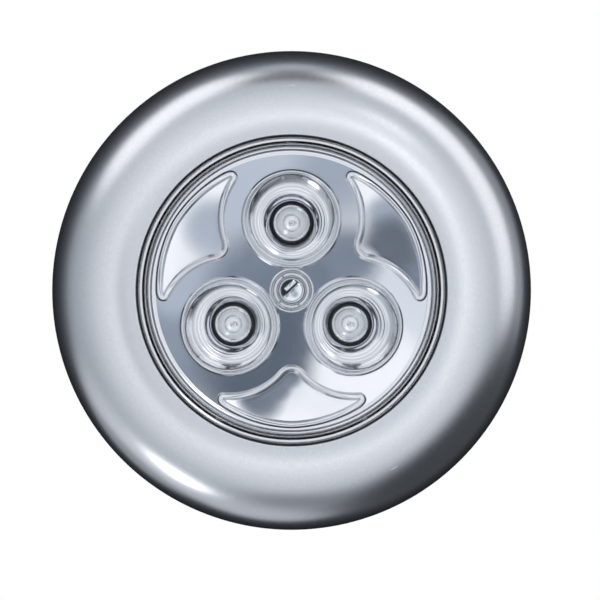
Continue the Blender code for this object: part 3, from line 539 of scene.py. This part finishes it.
def ring(shape, radius, centre=(0, 0), steps=ROUND):
    """A circle of edges at the deck's edge height."""
    place = Matrix.Translation((*centre, 0))
    made = bmesh.ops.create_circle(shape, cap_ends=False, segments=steps, radius=radius, matrix=place)
    return list({edge for vert in made["verts"] for edge in vert.link_edges})


def strip(shape, start, profile, centre=(0, 0), lean=(0, 0)):
    """Carry a ring of edges through (radius, height, share of the lean) points, leaving faces behind."""
    rim = start
    place = Vector(centre)
    for wide, high, share in profile:
        raised = bmesh.ops.extrude_edge_only(shape, edges=rim)
        rim = [item for item in raised["geom"] if isinstance(item, bmesh.types.BMEdge)]
        beyond = Vector(centre) + Vector(lean) * share
        for vert in (item for item in raised["geom"] if isinstance(item, bmesh.types.BMVert)):
            out = (vert.co.xy - place).normalized()
            vert.co = (*(beyond + out * wide), high)
        place = beyond


# The reflector's cups. Heights are from the deck.

# A cup leans outwards, so that its rim lies further out than its LED.
CUP_RIM = 6.8
CUP_LEAN = 0.5
CUP_RIM_PLACE = LED_PLACE + CUP_LEAN
# The lean is nothing at the first radius, and full this much further from the cup's middle.
LEAN_FOOT = 3.1
LEAN_REACH = 3.14
RIM_BEAD = [(6.72, 0.10), (6.64, 0.2), (6.55, 0.27), (6.46, 0.29), (6.37, 0.26), (6.3, 0.18), (6.24, 0.04)]
CUP_BANDS = [6.2, 5.75, 5.2, 4.8, 4.4, 3.95]
BAND_SHARES = (0.04, 0.2, 0.4, 0.6, 0.8, 0.96)
# How far the bands are hollowed, within and beyond the fine step.
BAND_HOLLOW = 0.016
OUTER_BAND_HOLLOW = 0.005
# The bowl is a shallow curve from its foot, and steeper beyond the fine step.
BOWL_FOOT = 3.9
BOWL_DEPTH = 1.15
BOWL_SLOPE = 0.1
BOWL_CURVE = 0.05
STEP_RADIUS = 5.2
STEP_RISE = 0.41
STEP_POWER = 1.35
CUP_WELL = [
    (3.9, -1.155), (3.82, -1.18), (3.74, -1.245), (3.6, -1.4), (3.45, -1.572), (3.3, -1.745), (3.15, -1.918),
]
CUP_THROAT = [(3.0, -2.09), (2.88, -2.23), (2.8, -2.37), (2.75, -2.6)]
# The throat ends this far in front of the board.
THROAT_RADIUS = 2.75
THROAT_END = 0.55


def bowl(radius):
    """The height of a cup's bowl at a radius. The two outer bands stand a fine step above the others."""
    inside = radius - BOWL_FOOT
    rise = -BOWL_DEPTH + BOWL_SLOPE * inside + BOWL_CURVE * inside ** 2
    beyond = radius - STEP_RADIUS
    if beyond > 0:
        rise += BOWL_CURVE * inside ** 2 + STEP_RISE * beyond ** STEP_POWER
    return rise


def cup_section():
    """A cup from its rim bead down to the LED's hole, as (radius, height, share of the lean) points.

    A bowl of narrow turned bands, each a little hollow, which draw the fine rings, round a steep well.
    """
    def share(radius):
        return (radius - LEAN_FOOT) / LEAN_REACH

    section = [(radius, height, 1) for radius, height in RIM_BEAD]
    for outer, inner in zip(CUP_BANDS, CUP_BANDS[1:]):
        hollow = OUTER_BAND_HOLLOW if outer > STEP_RADIUS else BAND_HOLLOW
        for t in BAND_SHARES:
            radius = outer + (inner - outer) * t
            section.append((radius, bowl(radius) - hollow * math.sin(math.pi * t), share(radius)))
    section += [(radius, height, share(radius)) for radius, height in CUP_WELL]
    section += [(radius, height, 0) for radius, height in CUP_THROAT]
    return section + [(THROAT_RADIUS, SEAT - DECK + THROAT_END, 0)]


# The reflector's raised outlines and the panels in them

PANEL_TURNS = [Matrix.Rotation(math.radians(120 * number), 2) for number in range(3)]
PANEL_AXES = [turn @ Vector((0, -1)) for turn in PANEL_TURNS]
PANEL_TILT = 0.04
PANEL_CURVE = 0.0075
PANEL_PLACE = 14.4
PANEL_REACH = 4
# Across an outline's bead, the tilt starts at the first offset and is full this much further in.
TILT_START = 0.1
TILT_WIDTH = 0.6
OUTLINE_OUTER = 18.2
# How far an outline's outer side draws in towards its tips, and its gap from a cup's rim.
TIP_DROP = 0.3
CUP_GAP = 2.74
# In degrees: where a hollow side starts past the apex and ends, the outer side's half, and the tip.
SIDE_START = 17
SIDE_END = -84
OUTER_HALF = 30
TIP_HALF = 34
# A bead's section from its outer foot to its inner one: offset, share of its height.
BEAD_SECTION = [
    (0.54, 0.0), (0.5, 0.05), (0.46, 0.18), (0.38, 0.5), (0.3, 0.82), (0.24, 0.93), (0.12, 0.99), (0.0, 1.0),
    (-0.12, 0.99), (-0.24, 0.93), (-0.3, 0.82), (-0.38, 0.5), (-0.46, 0.18), (-0.5, 0.05), (-0.54, 0.0),
]


def bend(start, corner, end, steps=9):
    """Points that round a corner, without the two ends."""
    shares = [step / steps for step in range(1, steps)]
    return [start.lerp(corner, t).lerp(corner.lerp(end, t), t) for t in shares]


def outline(steps=22):
    """The three-cornered outline that points down: hollow sides along two cups, a round outer side."""
    cup_centre = polar(CUP_RIM_PLACE, LED_ANGLES[2])
    side = CUP_RIM + CUP_GAP
    apex = Vector((0, cup_centre.y - math.sqrt(side ** 2 - cup_centre.x ** 2)))
    down = math.radians(-90)
    start = math.atan2(apex.y - cup_centre.y, apex.x - cup_centre.x) + math.radians(SIDE_START)
    end = math.radians(SIDE_END)
    right = [polar(side, start + (end - start) * index / steps, cup_centre) for index in range(steps + 1)]
    outer = []
    for index in range(steps + 1):
        share = 1 - index / steps
        outer.append(polar(OUTLINE_OUTER - TIP_DROP * share, down + math.radians(OUTER_HALF) * share))
    tip = polar(OUTLINE_OUTER - TIP_DROP, down + math.radians(TIP_HALF))
    right += bend(right[-1], tip, outer[0]) + outer
    mirrored = [Vector((-point.x, point.y)) for point in right[-2::-1]]
    return right + mirrored + bend(mirrored[-1], apex, right[0])


def outset(loop, distance):
    """Move each point of a clockwise loop sideways, outwards where the distance is positive."""
    moved_points = []
    for index, point in enumerate(loop):
        along = (loop[(index + 1) % len(loop)] - loop[index - 1]).normalized()
        moved_points.append(point + Vector((-along.y, along.x)) * distance)
    return moved_points


def raise_outline(shape, tilt, base, turn):
    """One outline's loops of edges, from its outer foot to its inner one, and all their vertices."""
    loops = []
    verts = []
    for offset, share in BEAD_SECTION:
        points = [(*(turn @ point), BEAD_HEIGHT * share) for point in outset(base, offset)]
        loops.append(closed_loop(shape, points))
        inward = min(1, max(0, (TILT_START - offset) / TILT_WIDTH))
        for vert in {vert for edge in loops[-1] for vert in edge.verts}:
            vert[tilt] = inward
            verts.append(vert)
    return loops, verts


def flat_regions(shape, tilt):
    """The region of each flat face: 1 on the deck, and 2 to 4 on the panels."""
    regions = {}
    for face in shape.faces:
        regions[face] = 1
        if all(vert[tilt] == 1 for vert in face.verts):
            middle = face.calc_center_median()
            around = math.degrees(math.atan2(middle.y, middle.x)) + 90
            regions[face] = 2 + round(around / 120) % 3
    return regions


def tilt_panel(verts, tilt, axis):
    """Tilt and curve one panel, and its outline's inner side with it."""
    for vert in verts:
        inward = OUTLINE_OUTER - vert.co.xy.dot(axis)
        across = (vert.co.xy - axis * PANEL_PLACE).length_squared
        vert.co.z += vert[tilt] * (PANEL_CURVE / 2 * (across - PANEL_REACH ** 2) - PANEL_TILT * inward)


def dish(x, y):
    """How far the deck sinks below its edge: a shallow bowl."""
    return -DISH_DEPTH * max(0, 1 - (x * x + y * y) / DECK_EDGE ** 2)


def make_reflector():
    """The metallised moulding: a dished deck with three cups, three outlined panels and a rolled edge."""
    shape = bmesh.new()
    region = shape.faces.layers.int.new("region")
    tilt = shape.verts.layers.float.new("tilt")
    deck_edge = ring(shape, DECK_EDGE)
    fill = list(deck_edge)
    base = outline()
    outlines = [raise_outline(shape, tilt, base, turn) for turn in PANEL_TURNS]
    for loops, _ in outlines:
        fill += loops[0] + loops[-1]
    centres = [polar(CUP_RIM_PLACE, angle) for angle in LED_ANGLES]
    rims = [ring(shape, CUP_RIM, centre, CUP_ROUND) for centre in centres]
    for rim in rims:
        fill += rim
    fill += ring(shape, HUB_HOLE, steps=CUP_ROUND)
    bmesh.ops.triangle_fill(shape, edges=fill, use_beauty=True, use_dissolve=False, normal=AXIS)
    regions = flat_regions(shape, tilt)
    for loops, _ in outlines:
        for outer, inner in zip(loops, loops[1:]):
            bmesh.ops.bridge_loops(shape, edges=outer + inner)
    for rim, centre, angle in zip(rims, centres, LED_ANGLES):
        section = [(radius, height, share - 1) for radius, height, share in cup_section()]
        strip(shape, rim, section, centre, polar(CUP_LEAN, angle))
    strip(shape, deck_edge, [(radius, height, 0) for radius, height in ROLLED_EDGE])
    for face in shape.faces:
        face[region] = regions.get(face, 0)
    for (_, verts), axis in zip(outlines, PANEL_AXES):
        tilt_panel(verts, tilt, axis)
    for vert in shape.verts:
        vert.co.z += DECK + dish(vert.co.x, vert.co.y)
    bmesh.ops.recalc_face_normals(shape, faces=shape.faces)
    if sum(face.normal.z * face.calc_area() for face in shape.faces) < 0:
        bmesh.ops.reverse_faces(shape, faces=shape.faces[:])
    take_in(shape, hub_collar())
    made = finished("reflector_bright", shape, REFLECTOR_METAL, "head", ["reflector"], 50)
    smooth_flats(made.data)


def hub_collar():
    """The short collar that lines the hub's hole."""
    low = DECK - HUB_DEPTH
    high = DECK + BEAD_HEIGHT - HUB_DROP
    corners = [(HUB_BORE, low, 0), (HUB_RADIUS, low, 0), (HUB_RADIUS, high, 0.14), (HUB_BORE, high, 0.1)]
    return spun(rounded(corners, 4), CUP_ROUND)


def smooth_flats(mesh):
    """Give the deck and the panels the normals of their true curves, so that reflections stay clean."""
    regions = mesh.attributes["region"].data
    normals = [Vector((0, 0, 0))] * len(mesh.loops)
    for polygon in mesh.polygons:
        kind = regions[polygon.index].value
        if not kind:
            continue
        for index in polygon.loop_indices:
            vert = mesh.vertices[mesh.loops[index].vertex_index].co / MM
            place = Vector((vert.x, vert.z))
            slope = place * (2 * DISH_DEPTH / DECK_EDGE ** 2)
            if kind > 1:
                axis = PANEL_AXES[kind - 2]
                slope += axis * PANEL_TILT
                slope += (place - axis * PANEL_PLACE) * PANEL_CURVE
            normals[index] = Vector((-slope.x, -1, -slope.y)).normalized()
    mesh.normals_split_custom_set(normals)


# LEDs. Heights are from the board, on which they sit.

LED_RADIUS = 2.48
LED_FLANGE = 2.62
LED_FLANGE_HEIGHT = 0.9
LED_DOME = 1.45
# A pin's two sides, half its thickness, its upper end and the bevel on its edges.
PIN_INNER = 1.1
PIN_OUTER = 1.6
PIN_HALF = 0.25
PIN_TOP = 0.8
PIN_BEVEL = 0.05
# The lead frame's cup and the die in it: radius, height, rounding.
LED_FRAME = [
    (0, 0.5, 0), (1.3, 0.5, 0.1), (2.3, 2.6, 0.1), (2.3, 3.0, 0.06), (2.16, 3.0, 0.05), (2.05, 2.8, 0.1),
    (1.6, 2.74, 0.1), (1.5, 2.66, 0.05), (0.95, 2.62, 0.08), (0.86, 2.52, 0.05), (0, 2.46, 0),
]
LED_DIE = [(0, 2.4, 0), (0.34, 2.4, 0), (0.34, 2.5, 0.04), (0.3, 2.53, 0.03), (0, 2.56, 0)]


def make_leds():
    """Three clear LEDs: a domed resin body with a flange, and the lead frame and die inside."""
    rear, top = heights("led_1")
    flange = SEAT + LED_FLANGE_HEIGHT
    dome = top - LED_DOME
    profile = rounded([
        (0, SEAT, 0), (LED_FLANGE, SEAT, 0.06), (LED_FLANGE, flange, 0.08),
        (LED_RADIUS, flange, 0.05), (LED_RADIUS, dome, 0),
    ], 6)
    for degrees in range(5, 90, 5):
        angle = math.radians(degrees)
        profile.append((LED_RADIUS * math.cos(angle), dome + LED_DOME * math.sin(angle)))
    profile.append((0, top))
    for number, angle in enumerate(LED_ANGLES, 1):
        x, y = polar(LED_PLACE, angle)
        body = moved(spun(profile, CUP_ROUND), x, y)
        finished(f"led_body_{number}", body, EPOXY, "head", [f"led_{number}"])
        cup = spun(rounded(lifted(LED_FRAME, SEAT)), SMALL_ROUND)
        for left, right in ((-PIN_OUTER, -PIN_INNER), (PIN_INNER, PIN_OUTER)):
            take_in(cup, block((left, -PIN_HALF, rear), (right, PIN_HALF, SEAT + PIN_TOP), PIN_BEVEL))
        finished(f"led_frame_{number}", moved(cup, x, y), LEAD_FRAME, "head", angle=35)
        die = spun(rounded(lifted(LED_DIE, SEAT)), SMALL_ROUND)
        finished(f"led_die_{number}", moved(die, x, y), LEAD_FRAME, "head", angle=35)


# Switch

CASE_BORE = 2.5
CASE_FLOOR = 0.4
COVER_BORE = 1.8
COVER_RISE = 0.4
# The cover's stepped face, from the outside in: radius, height from the CAD cover's top, rounding.
COVER_FACE = [
    (2.46, 0.38, 0.03), (2.42, 0.3, 0.03), (2.38, 0.38, 0.03), (2.0, 0.3, 0.04), (1.96, 0.2, 0.03),
    (COVER_BORE, 0.17, 0.04),
]
# The crimp marks' bottom and the end of the tool that cuts them are heights from the CAD cover's top.
CRIMP_ANGLES = (122, 225, 296)
CRIMP_PLACE = 2.22
CRIMP_RADIUS = 0.17
CRIMP_BOTTOM = 0.1
CRIMP_END = 0.6
# The stem's radii, the depth of the slot's floor below its top, and the step up to its outer edge.
STEM_BORE = 1.05
STEM_COLLAR = 2.15
STEM_RADIUS = 1.72
STEM_NECK = 1.5
STEM_FLOOR = 1.42
STEM_COLLAR_HEIGHT = 0.6
SLOT_DEPTH = 0.45
STEM_EDGE = 0.2
# The slot is turned, and the half moon's straight side lies this far from the stem's middle.
SLOT_TURN = math.radians(42)
SLOT_SIDE = 0.1
# The half moon and the bar reach this far into the slot's floor, and the moon's outer edge is lower.
SINK = 0.05
HALF_DROP = 0.17
# The dark floor of the slot, and the gap over the spring.
CORE_RADIUS = 1.4
CORE_RISE = 0.03
ROOF_GAP = 0.05
# The bar beside the slot: two corners, how far its top lies below the stem's, and its crest's slope.
BAR_LOW = (-0.6, 0.32)
BAR_HIGH = (1.25, 0.92)
BAR_DROP = 0.12
BAR_BEVEL = 0.07
BAR_MIDDLE = 0.62
CREST_SLOPE = 0.1
CREST_START = 0.1
SPRING_WIRE = 0.25
SPRING_TURNS = 4


def make_switch_case():
    """The dark case: a cup that holds the stem and its spring."""
    rear, top = heights("switch_case")
    outer = radius_of("switch_case")
    floor = rear + CASE_FLOOR
    case = rounded([
        (0, rear, 0), (outer, rear, 0.1), (outer, top, 0.05), (CASE_BORE, top, 0.05), (CASE_BORE, floor, 0.1),
        (0, floor, 0),
    ])
    finished("switch_case_body", spun(case, CUP_ROUND), NYLON, "head", ["switch_case"])


def make_switch_cover():
    """The plated cover round the stem, with its groove and three crimp marks."""
    rear, top = heights("switch_cover")
    outer = radius_of("switch_case")
    cover = spun(rounded([
        (COVER_BORE, rear, 0.04), (outer, rear, 0.04), (outer, top + COVER_RISE, 0.04),
        *lifted(COVER_FACE, top),
    ]), CUP_ROUND)
    made = finished("switch_cover_plate", cover, STEM, "head", ["switch_cover"])
    holes = bmesh.new()
    for angle in CRIMP_ANGLES:
        x, y = polar(CRIMP_PLACE, math.radians(angle))
        hole = disc(CRIMP_RADIUS, top + CRIMP_BOTTOM, top + CRIMP_END, steps=16)
        take_in(holes, moved(hole, x, y))
    cut_out(made, holes)


def make_switch_stem():
    """The chromed stem: a half moon and a bar on both sides of a slot, over a dark floor."""
    rear, top = heights("switch_plunger")
    roof = heights("switch_spring")[1] + ROOF_GAP
    collar = rear + STEM_COLLAR_HEIGHT
    low = top - SLOT_DEPTH
    shaft = spun(rounded([
        (0, roof, 0), (STEM_BORE, roof, 0.05), (STEM_BORE, rear, 0.05), (STEM_COLLAR, rear, 0.05),
        (STEM_COLLAR, collar, 0.08), (STEM_RADIUS, collar, 0.06), (STEM_RADIUS, low + STEM_EDGE, 0.1),
        (STEM_NECK, low + STEM_EDGE, 0.08), (STEM_FLOOR, low, 0.1), (0, low, 0),
    ]), CUP_ROUND)
    half = spun(rounded([
        (0, low - SINK, 0), (STEM_NECK, low - SINK, 0), (STEM_NECK, top - HALF_DROP, 0.1), (0, top, 0),
    ]), CUP_ROUND)
    everything = half.verts[:] + half.edges[:] + half.faces[:]
    side = Vector((0, SLOT_SIDE, 0))
    bmesh.ops.bisect_plane(half, geom=everything, plane_co=side, plane_no=(0, 1, 0), clear_outer=True)
    bmesh.ops.holes_fill(half, edges=[edge for edge in half.edges if edge.is_boundary])
    core = disc(CORE_RADIUS, low - SINK, low + CORE_RISE, high_edge=0.03, steps=CUP_ROUND)
    finished("switch_stem_core", core, NYLON, "plunger")
    take_in(shaft, moved(half, turn=SLOT_TURN))
    bar = block((*BAR_LOW, low - SINK), (*BAR_HIGH, top - BAR_DROP), BAR_BEVEL)
    for vert in bar.verts:
        if vert.co.z > low + CREST_START:
            vert.co.z += CREST_SLOPE * (vert.co.y - BAR_MIDDLE)
    take_in(shaft, moved(bar, turn=SLOT_TURN))
    finished("switch_stem", shaft, STEM, "plunger", ["switch_plunger"], 35)


def make_switch_spring():
    """The switch's return spring, which the stem squeezes."""
    rear, top = heights("switch_spring")
    wire = SPRING_WIRE / 2
    coil = wound(radius_of("switch_spring") - wire, SPRING_WIRE, rear + wire, top - wire, SPRING_TURNS)
    made = finished("switch_spring_wire", coil, SPRING, "head", ["switch_spring"], 60)
    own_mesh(made)


def wound(radius, wire, low, high, turns, steps=24, sides=10):
    """A coil of round wire that climbs from one height to another, both at the wire's middle."""
    shape = bmesh.new()
    count = round(turns * steps)
    tilts = [math.tau * side / sides for side in range(sides)]
    rings = []
    for index in range(count + 1):
        share = index / count
        around = math.tau * turns * share
        out = Vector((math.cos(around), math.sin(around), 0))
        along = Vector((-out.y * radius, out.x * radius, (high - low) / (math.tau * turns))).normalized()
        up = out.cross(along)
        middle = out * radius + AXIS * (low + (high - low) * share)
        places = [middle + (out * math.cos(tilt) + up * math.sin(tilt)) * (wire / 2) for tilt in tilts]
        rings.append([shape.verts.new(place) for place in places])
    for near, far in zip(rings, rings[1:]):
        for side in range(sides):
            shape.faces.new((near[side - 1], near[side], far[side], far[side - 1]))
    shape.faces.new(rings[0])
    shape.faces.new(rings[-1])
    bmesh.ops.recalc_face_normals(shape, faces=shape.faces)
    return shape


# Base plate and pad

PLATE = 1.8
PAD_MARGIN = 0.3
PAD_SINK = 0.1
GROOVE_INNER = 22.5
GROOVE_OUTER = 23.5
GROOVE_DEPTH = 0.4
MARK_ANGLES = range(30, 360, 60)
MARK_PLACE = 26.4
MARK_RADIUS = 1.2
MARK_PROUD = 0.02
MARK_ROOT = 0.2
# A bayonet hook: a post on the plate with a tongue outwards, which starts before the lug's middle.
HOOK_INNER = 26.9
HOOK_OUTER = 27.6
HOOK_TONGUE = 29.5
HOOK_LOW = 4.0
HOOK_HIGH = 5.0
HOOK_ROOT = 0.2
HOOK_START = math.radians(18)
HOOK_SWEEP = math.radians(31)


def bayonet_hook(plate_top, angle):
    """One hook, swept about the axis from its section."""
    foot = plate_top - HOOK_ROOT
    section = [
        (HOOK_INNER, foot), (HOOK_OUTER, foot), (HOOK_OUTER, HOOK_LOW), (HOOK_TONGUE, HOOK_LOW),
        (HOOK_TONGUE, HOOK_HIGH), (HOOK_INNER, HOOK_HIGH),
    ]
    hook = bmesh.new()
    points = [hook.verts.new((radius, 0, height)) for radius, height in section]
    face = hook.faces.new(points)
    turn = Matrix.Rotation(angle - HOOK_START, 3, "Z")
    bmesh.ops.rotate(hook, verts=points, cent=(0, 0, 0), matrix=turn)
    swept = [face] + points + face.edges[:]
    bmesh.ops.spin(hook, geom=swept, cent=(0, 0, 0), axis=AXIS, angle=HOOK_SWEEP, steps=20)
    bmesh.ops.remove_doubles(hook, verts=hook.verts, dist=WELD)
    bmesh.ops.recalc_face_normals(hook, faces=hook.faces)
    return hook


def make_base():
    """The back: a textured plate with a shallow groove, ejector marks and hooks, and its foam pad."""
    rear = heights("base_plate")[0]
    top = rear + PLATE
    pad_rear, pad_top = heights("adhesive_pad")
    pad_radius = radius_of("adhesive_pad")
    outer = radius_of("base_plate")
    recess = pad_radius + PAD_MARGIN
    floor = pad_top + PAD_SINK
    groove = rear + GROOVE_DEPTH
    plate = spun(rounded([
        (0, floor, 0), (recess, floor, 0.08), (recess, rear, 0.12), (GROOVE_INNER, rear, 0.1),
        (GROOVE_INNER, groove, 0.08), (GROOVE_OUTER, groove, 0.08), (GROOVE_OUTER, rear, 0.1),
        (outer, rear, 0.35), (outer, top, 0.2), (0, top, 0),
    ]))
    for angle in MARK_ANGLES:
        x, y = polar(MARK_PLACE, math.radians(angle))
        mark = disc(MARK_RADIUS, rear - MARK_PROUD, rear + MARK_ROOT, low_edge=MARK_PROUD)
        take_in(plate, moved(mark, x, y))
    for angle in LUG_ANGLES:
        take_in(plate, bayonet_hook(top, angle))
    finished("base_plate_moulding", plate, BASE_ABS, "base", ["base_plate"])
    pad = disc(pad_radius, pad_rear, pad_top, 0.12, 0.05, ROUND)
    finished("foam_pad", pad, FOAM, "base", ["adhesive_pad"])


def dress_hidden_pieces():
    """Better materials on the solids that the housing hides."""
    finishes = {
        "battery_tray": TRAY_ABS, "circuit_board": BOARD, "lead_red": RED_VINYL, "lead_black": BLACK_VINYL,
        "contact_positive": NICKEL, "contact_negative": NICKEL,
        "contact_bridge_1": NICKEL, "contact_bridge_2": NICKEL,
    }
    for number in (1, 2, 3):
        finishes[f"battery_{number}"] = JACKET
        finishes[f"battery_spring_{number}"] = SPRING
        finishes[f"tray_screw_{number}"] = ZINC
        finishes[f"board_screw_{number}"] = ZINC
        finishes[f"resistor_{number}"] = CHIP
    for node, material in finishes.items():
        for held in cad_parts[node].material_slots:
            held.material = material


# Studio. Its own sizes are in metres. Directions are in degrees from straight ahead, and in degrees
# round as seen from the front.

TENT_CENTRE = Vector((0, -12.8 * MM, 0))
TENT_RADIUS = 3.0
# The tent's level of light at angles from straight ahead.
TENT_LEVELS = [
    (0, 0.62), (4, 0.72), (7.5, 0.96), (10.5, 1.1), (13, 1.03), (17, 0.88), (24, 0.75), (32, 0.7),
    (40, 0.62), (48, 0.54), (56, 0.48), (64, 0.43), (80, 0.36), (90, 0.28), (100, 0.14), (112, 0.07),
    (124, 0.04), (144, 0.02), (180, 0.01),
]
# Softer and stronger places in the tent: from straight ahead, round, full within, gone at, level.
TENT_PATCHES = [
    # Screens at the sides that light the shoulder
    (104, 28, 8, 30, 0.24), (103, 2, 6, 20, 0.3), (72, 135, 5, 23, 1.08), (74, 5, 6, 22, 0.88),
    (76, 25, 7, 24, 0.95), (77, 45, 7, 22, 1.0), (92, 225, 7, 34, 0.6), (99, 262, 7, 24, 0.5),
    (62, 270, 5, 17, 0.25), (86, 315, 20, 46, 0.06), (76, 64, 7, 20, 1.1), (76, 116, 7, 20, 1.1),
    (67, 83, 5, 8, 0.05), (67, 97, 5, 8, 0.05), (78, 90, 5, 8, 0.12), (92, 90, 4, 12, 0.45),
    (114, 225, 6, 18, 0.3),
    # Lamps in the screens, which sparkle in the cups and in the LEDs
    (76, 238, 6, 11, 2.6), (33, 59, 3, 6, 1.5), (14, 52, 2.0, 4.5, 2.2),
    # The front screens: bright on the upper left, dimmer elsewhere
    (9.5, 224, 1.0, 4.0, 0.42), (10.6, 172, 1.6, 5.0, 0.22), (8.0, 199, 1.8, 5.2, 0.12),
    (6.8, 312, 0.8, 5.5, 0.5), (8.9, 127, 2.2, 4.6, 1.02), (3.4, 292, 0.9, 2.2, 0.62),
    (3.4, 249, 0.4, 1.5, 0.42), (3.6, 175, 1.2, 3.0, 0.86), (3.3, 21, 1.0, 2.0, 0.3),
    (2.9, 350, 0.9, 1.5, 0.52), (4.5, 88, 0.4, 2.2, 0.18), (6.3, 74, 0.6, 2.4, 0.2),
    # The dark gap where the camera stands, and dark flags beside it
    (0.4, 50, 1.4, 2.4, 0.23), (2.2, 90, 0.8, 2.0, 0.17), (1.5, 88, 0.7, 1.7, 0.14),
    (2.6, 67, 0.5, 1.9, 0.13), (1.7, 207, 0.4, 1.1, 0.22), (8.7, 58, 1.4, 4.6, 0.18),
    # The brightest screen, at the lower right
    (3.1, 131, 1.2, 1.8, 1.08),
]
# How blue dim light is: in the levels, in the patches that lie in front of the limit, and in the others.
LEVEL_BLUE = 0.12
FRONT_BLUE = 0.3
SIDE_BLUE = 0.1
FRONT_LIMIT = 20
FLOOR_RADIUS = 2.4
FLOOR_HEIGHT = -0.25
CAMERA_DISTANCE = 2.5
SENSOR = 36
# The photograph's width, and the light's radius and middle in it, in pixels.
PHOTO_PIXELS = 600
RADIUS_PIXELS = 239.46
MIDDLE_PIXELS = (291.57, 290.45)


def cool(value, blue):
    """A grey level of light with the slight blue of a daylight screen, bluer where it is dim."""
    dim = max(0, 1 - value) * blue
    return (value * (0.972 - 0.7 * dim), value * 0.99, value * (1.02 + dim), 1.0)


def direction(polar_angle, azimuth):
    """A direction from the light's middle."""
    away = math.radians(polar_angle)
    turn = math.radians(azimuth)
    return Vector((math.sin(away) * math.cos(turn), -math.cos(away), math.sin(away) * math.sin(turn)))


def soft_patch(tree, base, towards, where, inner, outer, level):
    """Blend a level into the light round one direction, full within inner degrees and gone at outer."""
    facing = add(tree, "ShaderNodeVectorMath", {0: towards, 1: where}, operation="DOT_PRODUCT")
    share = add(tree, "ShaderNodeMapRange", {
        "Value": facing.outputs["Value"],
        "From Min": math.cos(math.radians(outer)), "From Max": math.cos(math.radians(inner)),
    }, interpolation_type="SMOOTHSTEP")
    return blend(tree, share.outputs["Result"], base, level)


def tent_light():
    """The tent's light: pale in front, dark behind and in the gap for the camera."""
    tent = bpy.data.materials.new("studio_tent")
    tent.use_nodes = True
    tree = tent.node_tree
    tree.nodes.clear()
    place = add(tree, "ShaderNodeTexCoord").outputs["Object"]
    towards = add(tree, "ShaderNodeVectorMath", {0: place}, operation="NORMALIZE").outputs["Vector"]
    ahead = add(tree, "ShaderNodeVectorMath", {0: towards, 1: (0, -1, 0)}, operation="DOT_PRODUCT")
    angle = add(tree, "ShaderNodeMath", {0: ahead.outputs["Value"]}, operation="ARCCOSINE")
    turn = add(tree, "ShaderNodeMath", {0: angle.outputs["Value"], 1: math.pi}, operation="DIVIDE")
    ramp = add(tree, "ShaderNodeValToRGB", {"Fac": turn.outputs["Value"]})
    elements = ramp.color_ramp.elements
    for index, (degrees, value) in enumerate(TENT_LEVELS):
        element = elements[index] if index < 2 else elements.new(degrees / 180)
        element.position = degrees / 180
        element.color = cool(value, LEVEL_BLUE)
    level = ramp.outputs["Color"]
    for away, azimuth, inner, outer, value in TENT_PATCHES:
        patch = cool(value, FRONT_BLUE if away < FRONT_LIMIT else SIDE_BLUE)
        level = soft_patch(tree, level, towards, direction(away, azimuth), inner, outer, patch)
    glow = add(tree, "ShaderNodeEmission", {"Color": level, "Strength": 1.0})
    output = add(tree, "ShaderNodeOutputMaterial")
    tree.links.new(glow.outputs["Emission"], output.inputs["Surface"])
    return tent


def make_tent():
    """A light tent round the object, out of the camera's sight."""
    shape = bmesh.new()
    bmesh.ops.create_icosphere(shape, subdivisions=5, radius=TENT_RADIUS)
    bmesh.ops.reverse_faces(shape, faces=shape.faces[:])
    made = placed("studio_tent", shape, tent_light())
    made.location = TENT_CENTRE
    made.visible_camera = False
    made.visible_diffuse = False
    made.visible_shadow = False


def make_world():
    """An even white surround, which is also the background."""
    world = bpy.data.worlds.new("white_surround")
    world.use_nodes = True
    bpy.context.scene.world = world
    surround = world.node_tree.nodes["Background"]
    surround.inputs["Color"].default_value = (1, 1, 1, 1)
    surround.inputs["Strength"].default_value = 1.0


def make_floor():
    """A plain pale floor below the object. The tent, not the floor, is what the metal and the lens show."""
    floor, tree, surface, place = finish_of("pale_matte_floor", "#FAFAFA", Roughness=0.9)
    tint(tree, surface, noise(tree, place, 4, 2.0), "#F9F9F9", "#FBFBFB")
    shape = bmesh.new()
    bmesh.ops.create_circle(shape, cap_ends=True, segments=96, radius=FLOOR_RADIUS)
    made = placed("studio_floor", shape, floor)
    made.location = (0, 0, FLOOR_HEIGHT)
    made.visible_glossy = False
    made.visible_transmission = False


def make_camera():
    """Dead on, from far enough that the border and the silhouette keep their proportions."""
    camera = bpy.data.cameras.new("camera")
    widest = -SHOULDER * MM
    pixel = BODY_RADIUS * MM / RADIUS_PIXELS
    camera.sensor_width = SENSOR
    camera.lens = SENSOR * CAMERA_DISTANCE / (PHOTO_PIXELS * pixel)
    camera.clip_end = 8 * CAMERA_DISTANCE
    made = bpy.data.objects.new("camera", camera)
    aside = (PHOTO_PIXELS / 2 - MIDDLE_PIXELS[0]) * pixel
    above = (MIDDLE_PIXELS[1] - PHOTO_PIXELS / 2) * pixel
    made.location = (aside, widest - CAMERA_DISTANCE, above)
    made.rotation_euler = (math.radians(90), 0, 0)
    bpy.context.scene.collection.objects.link(made)
    bpy.context.scene.camera = made


make_camera()
make_housing()
make_lens()
make_reflector()
make_leds()
make_switch_case()
make_switch_cover()
make_switch_stem()
make_switch_spring()
make_base()
dress_hidden_pieces()
make_world()
make_floor()
make_tent()
bpy.context.scene.view_settings.view_transform = "Standard"
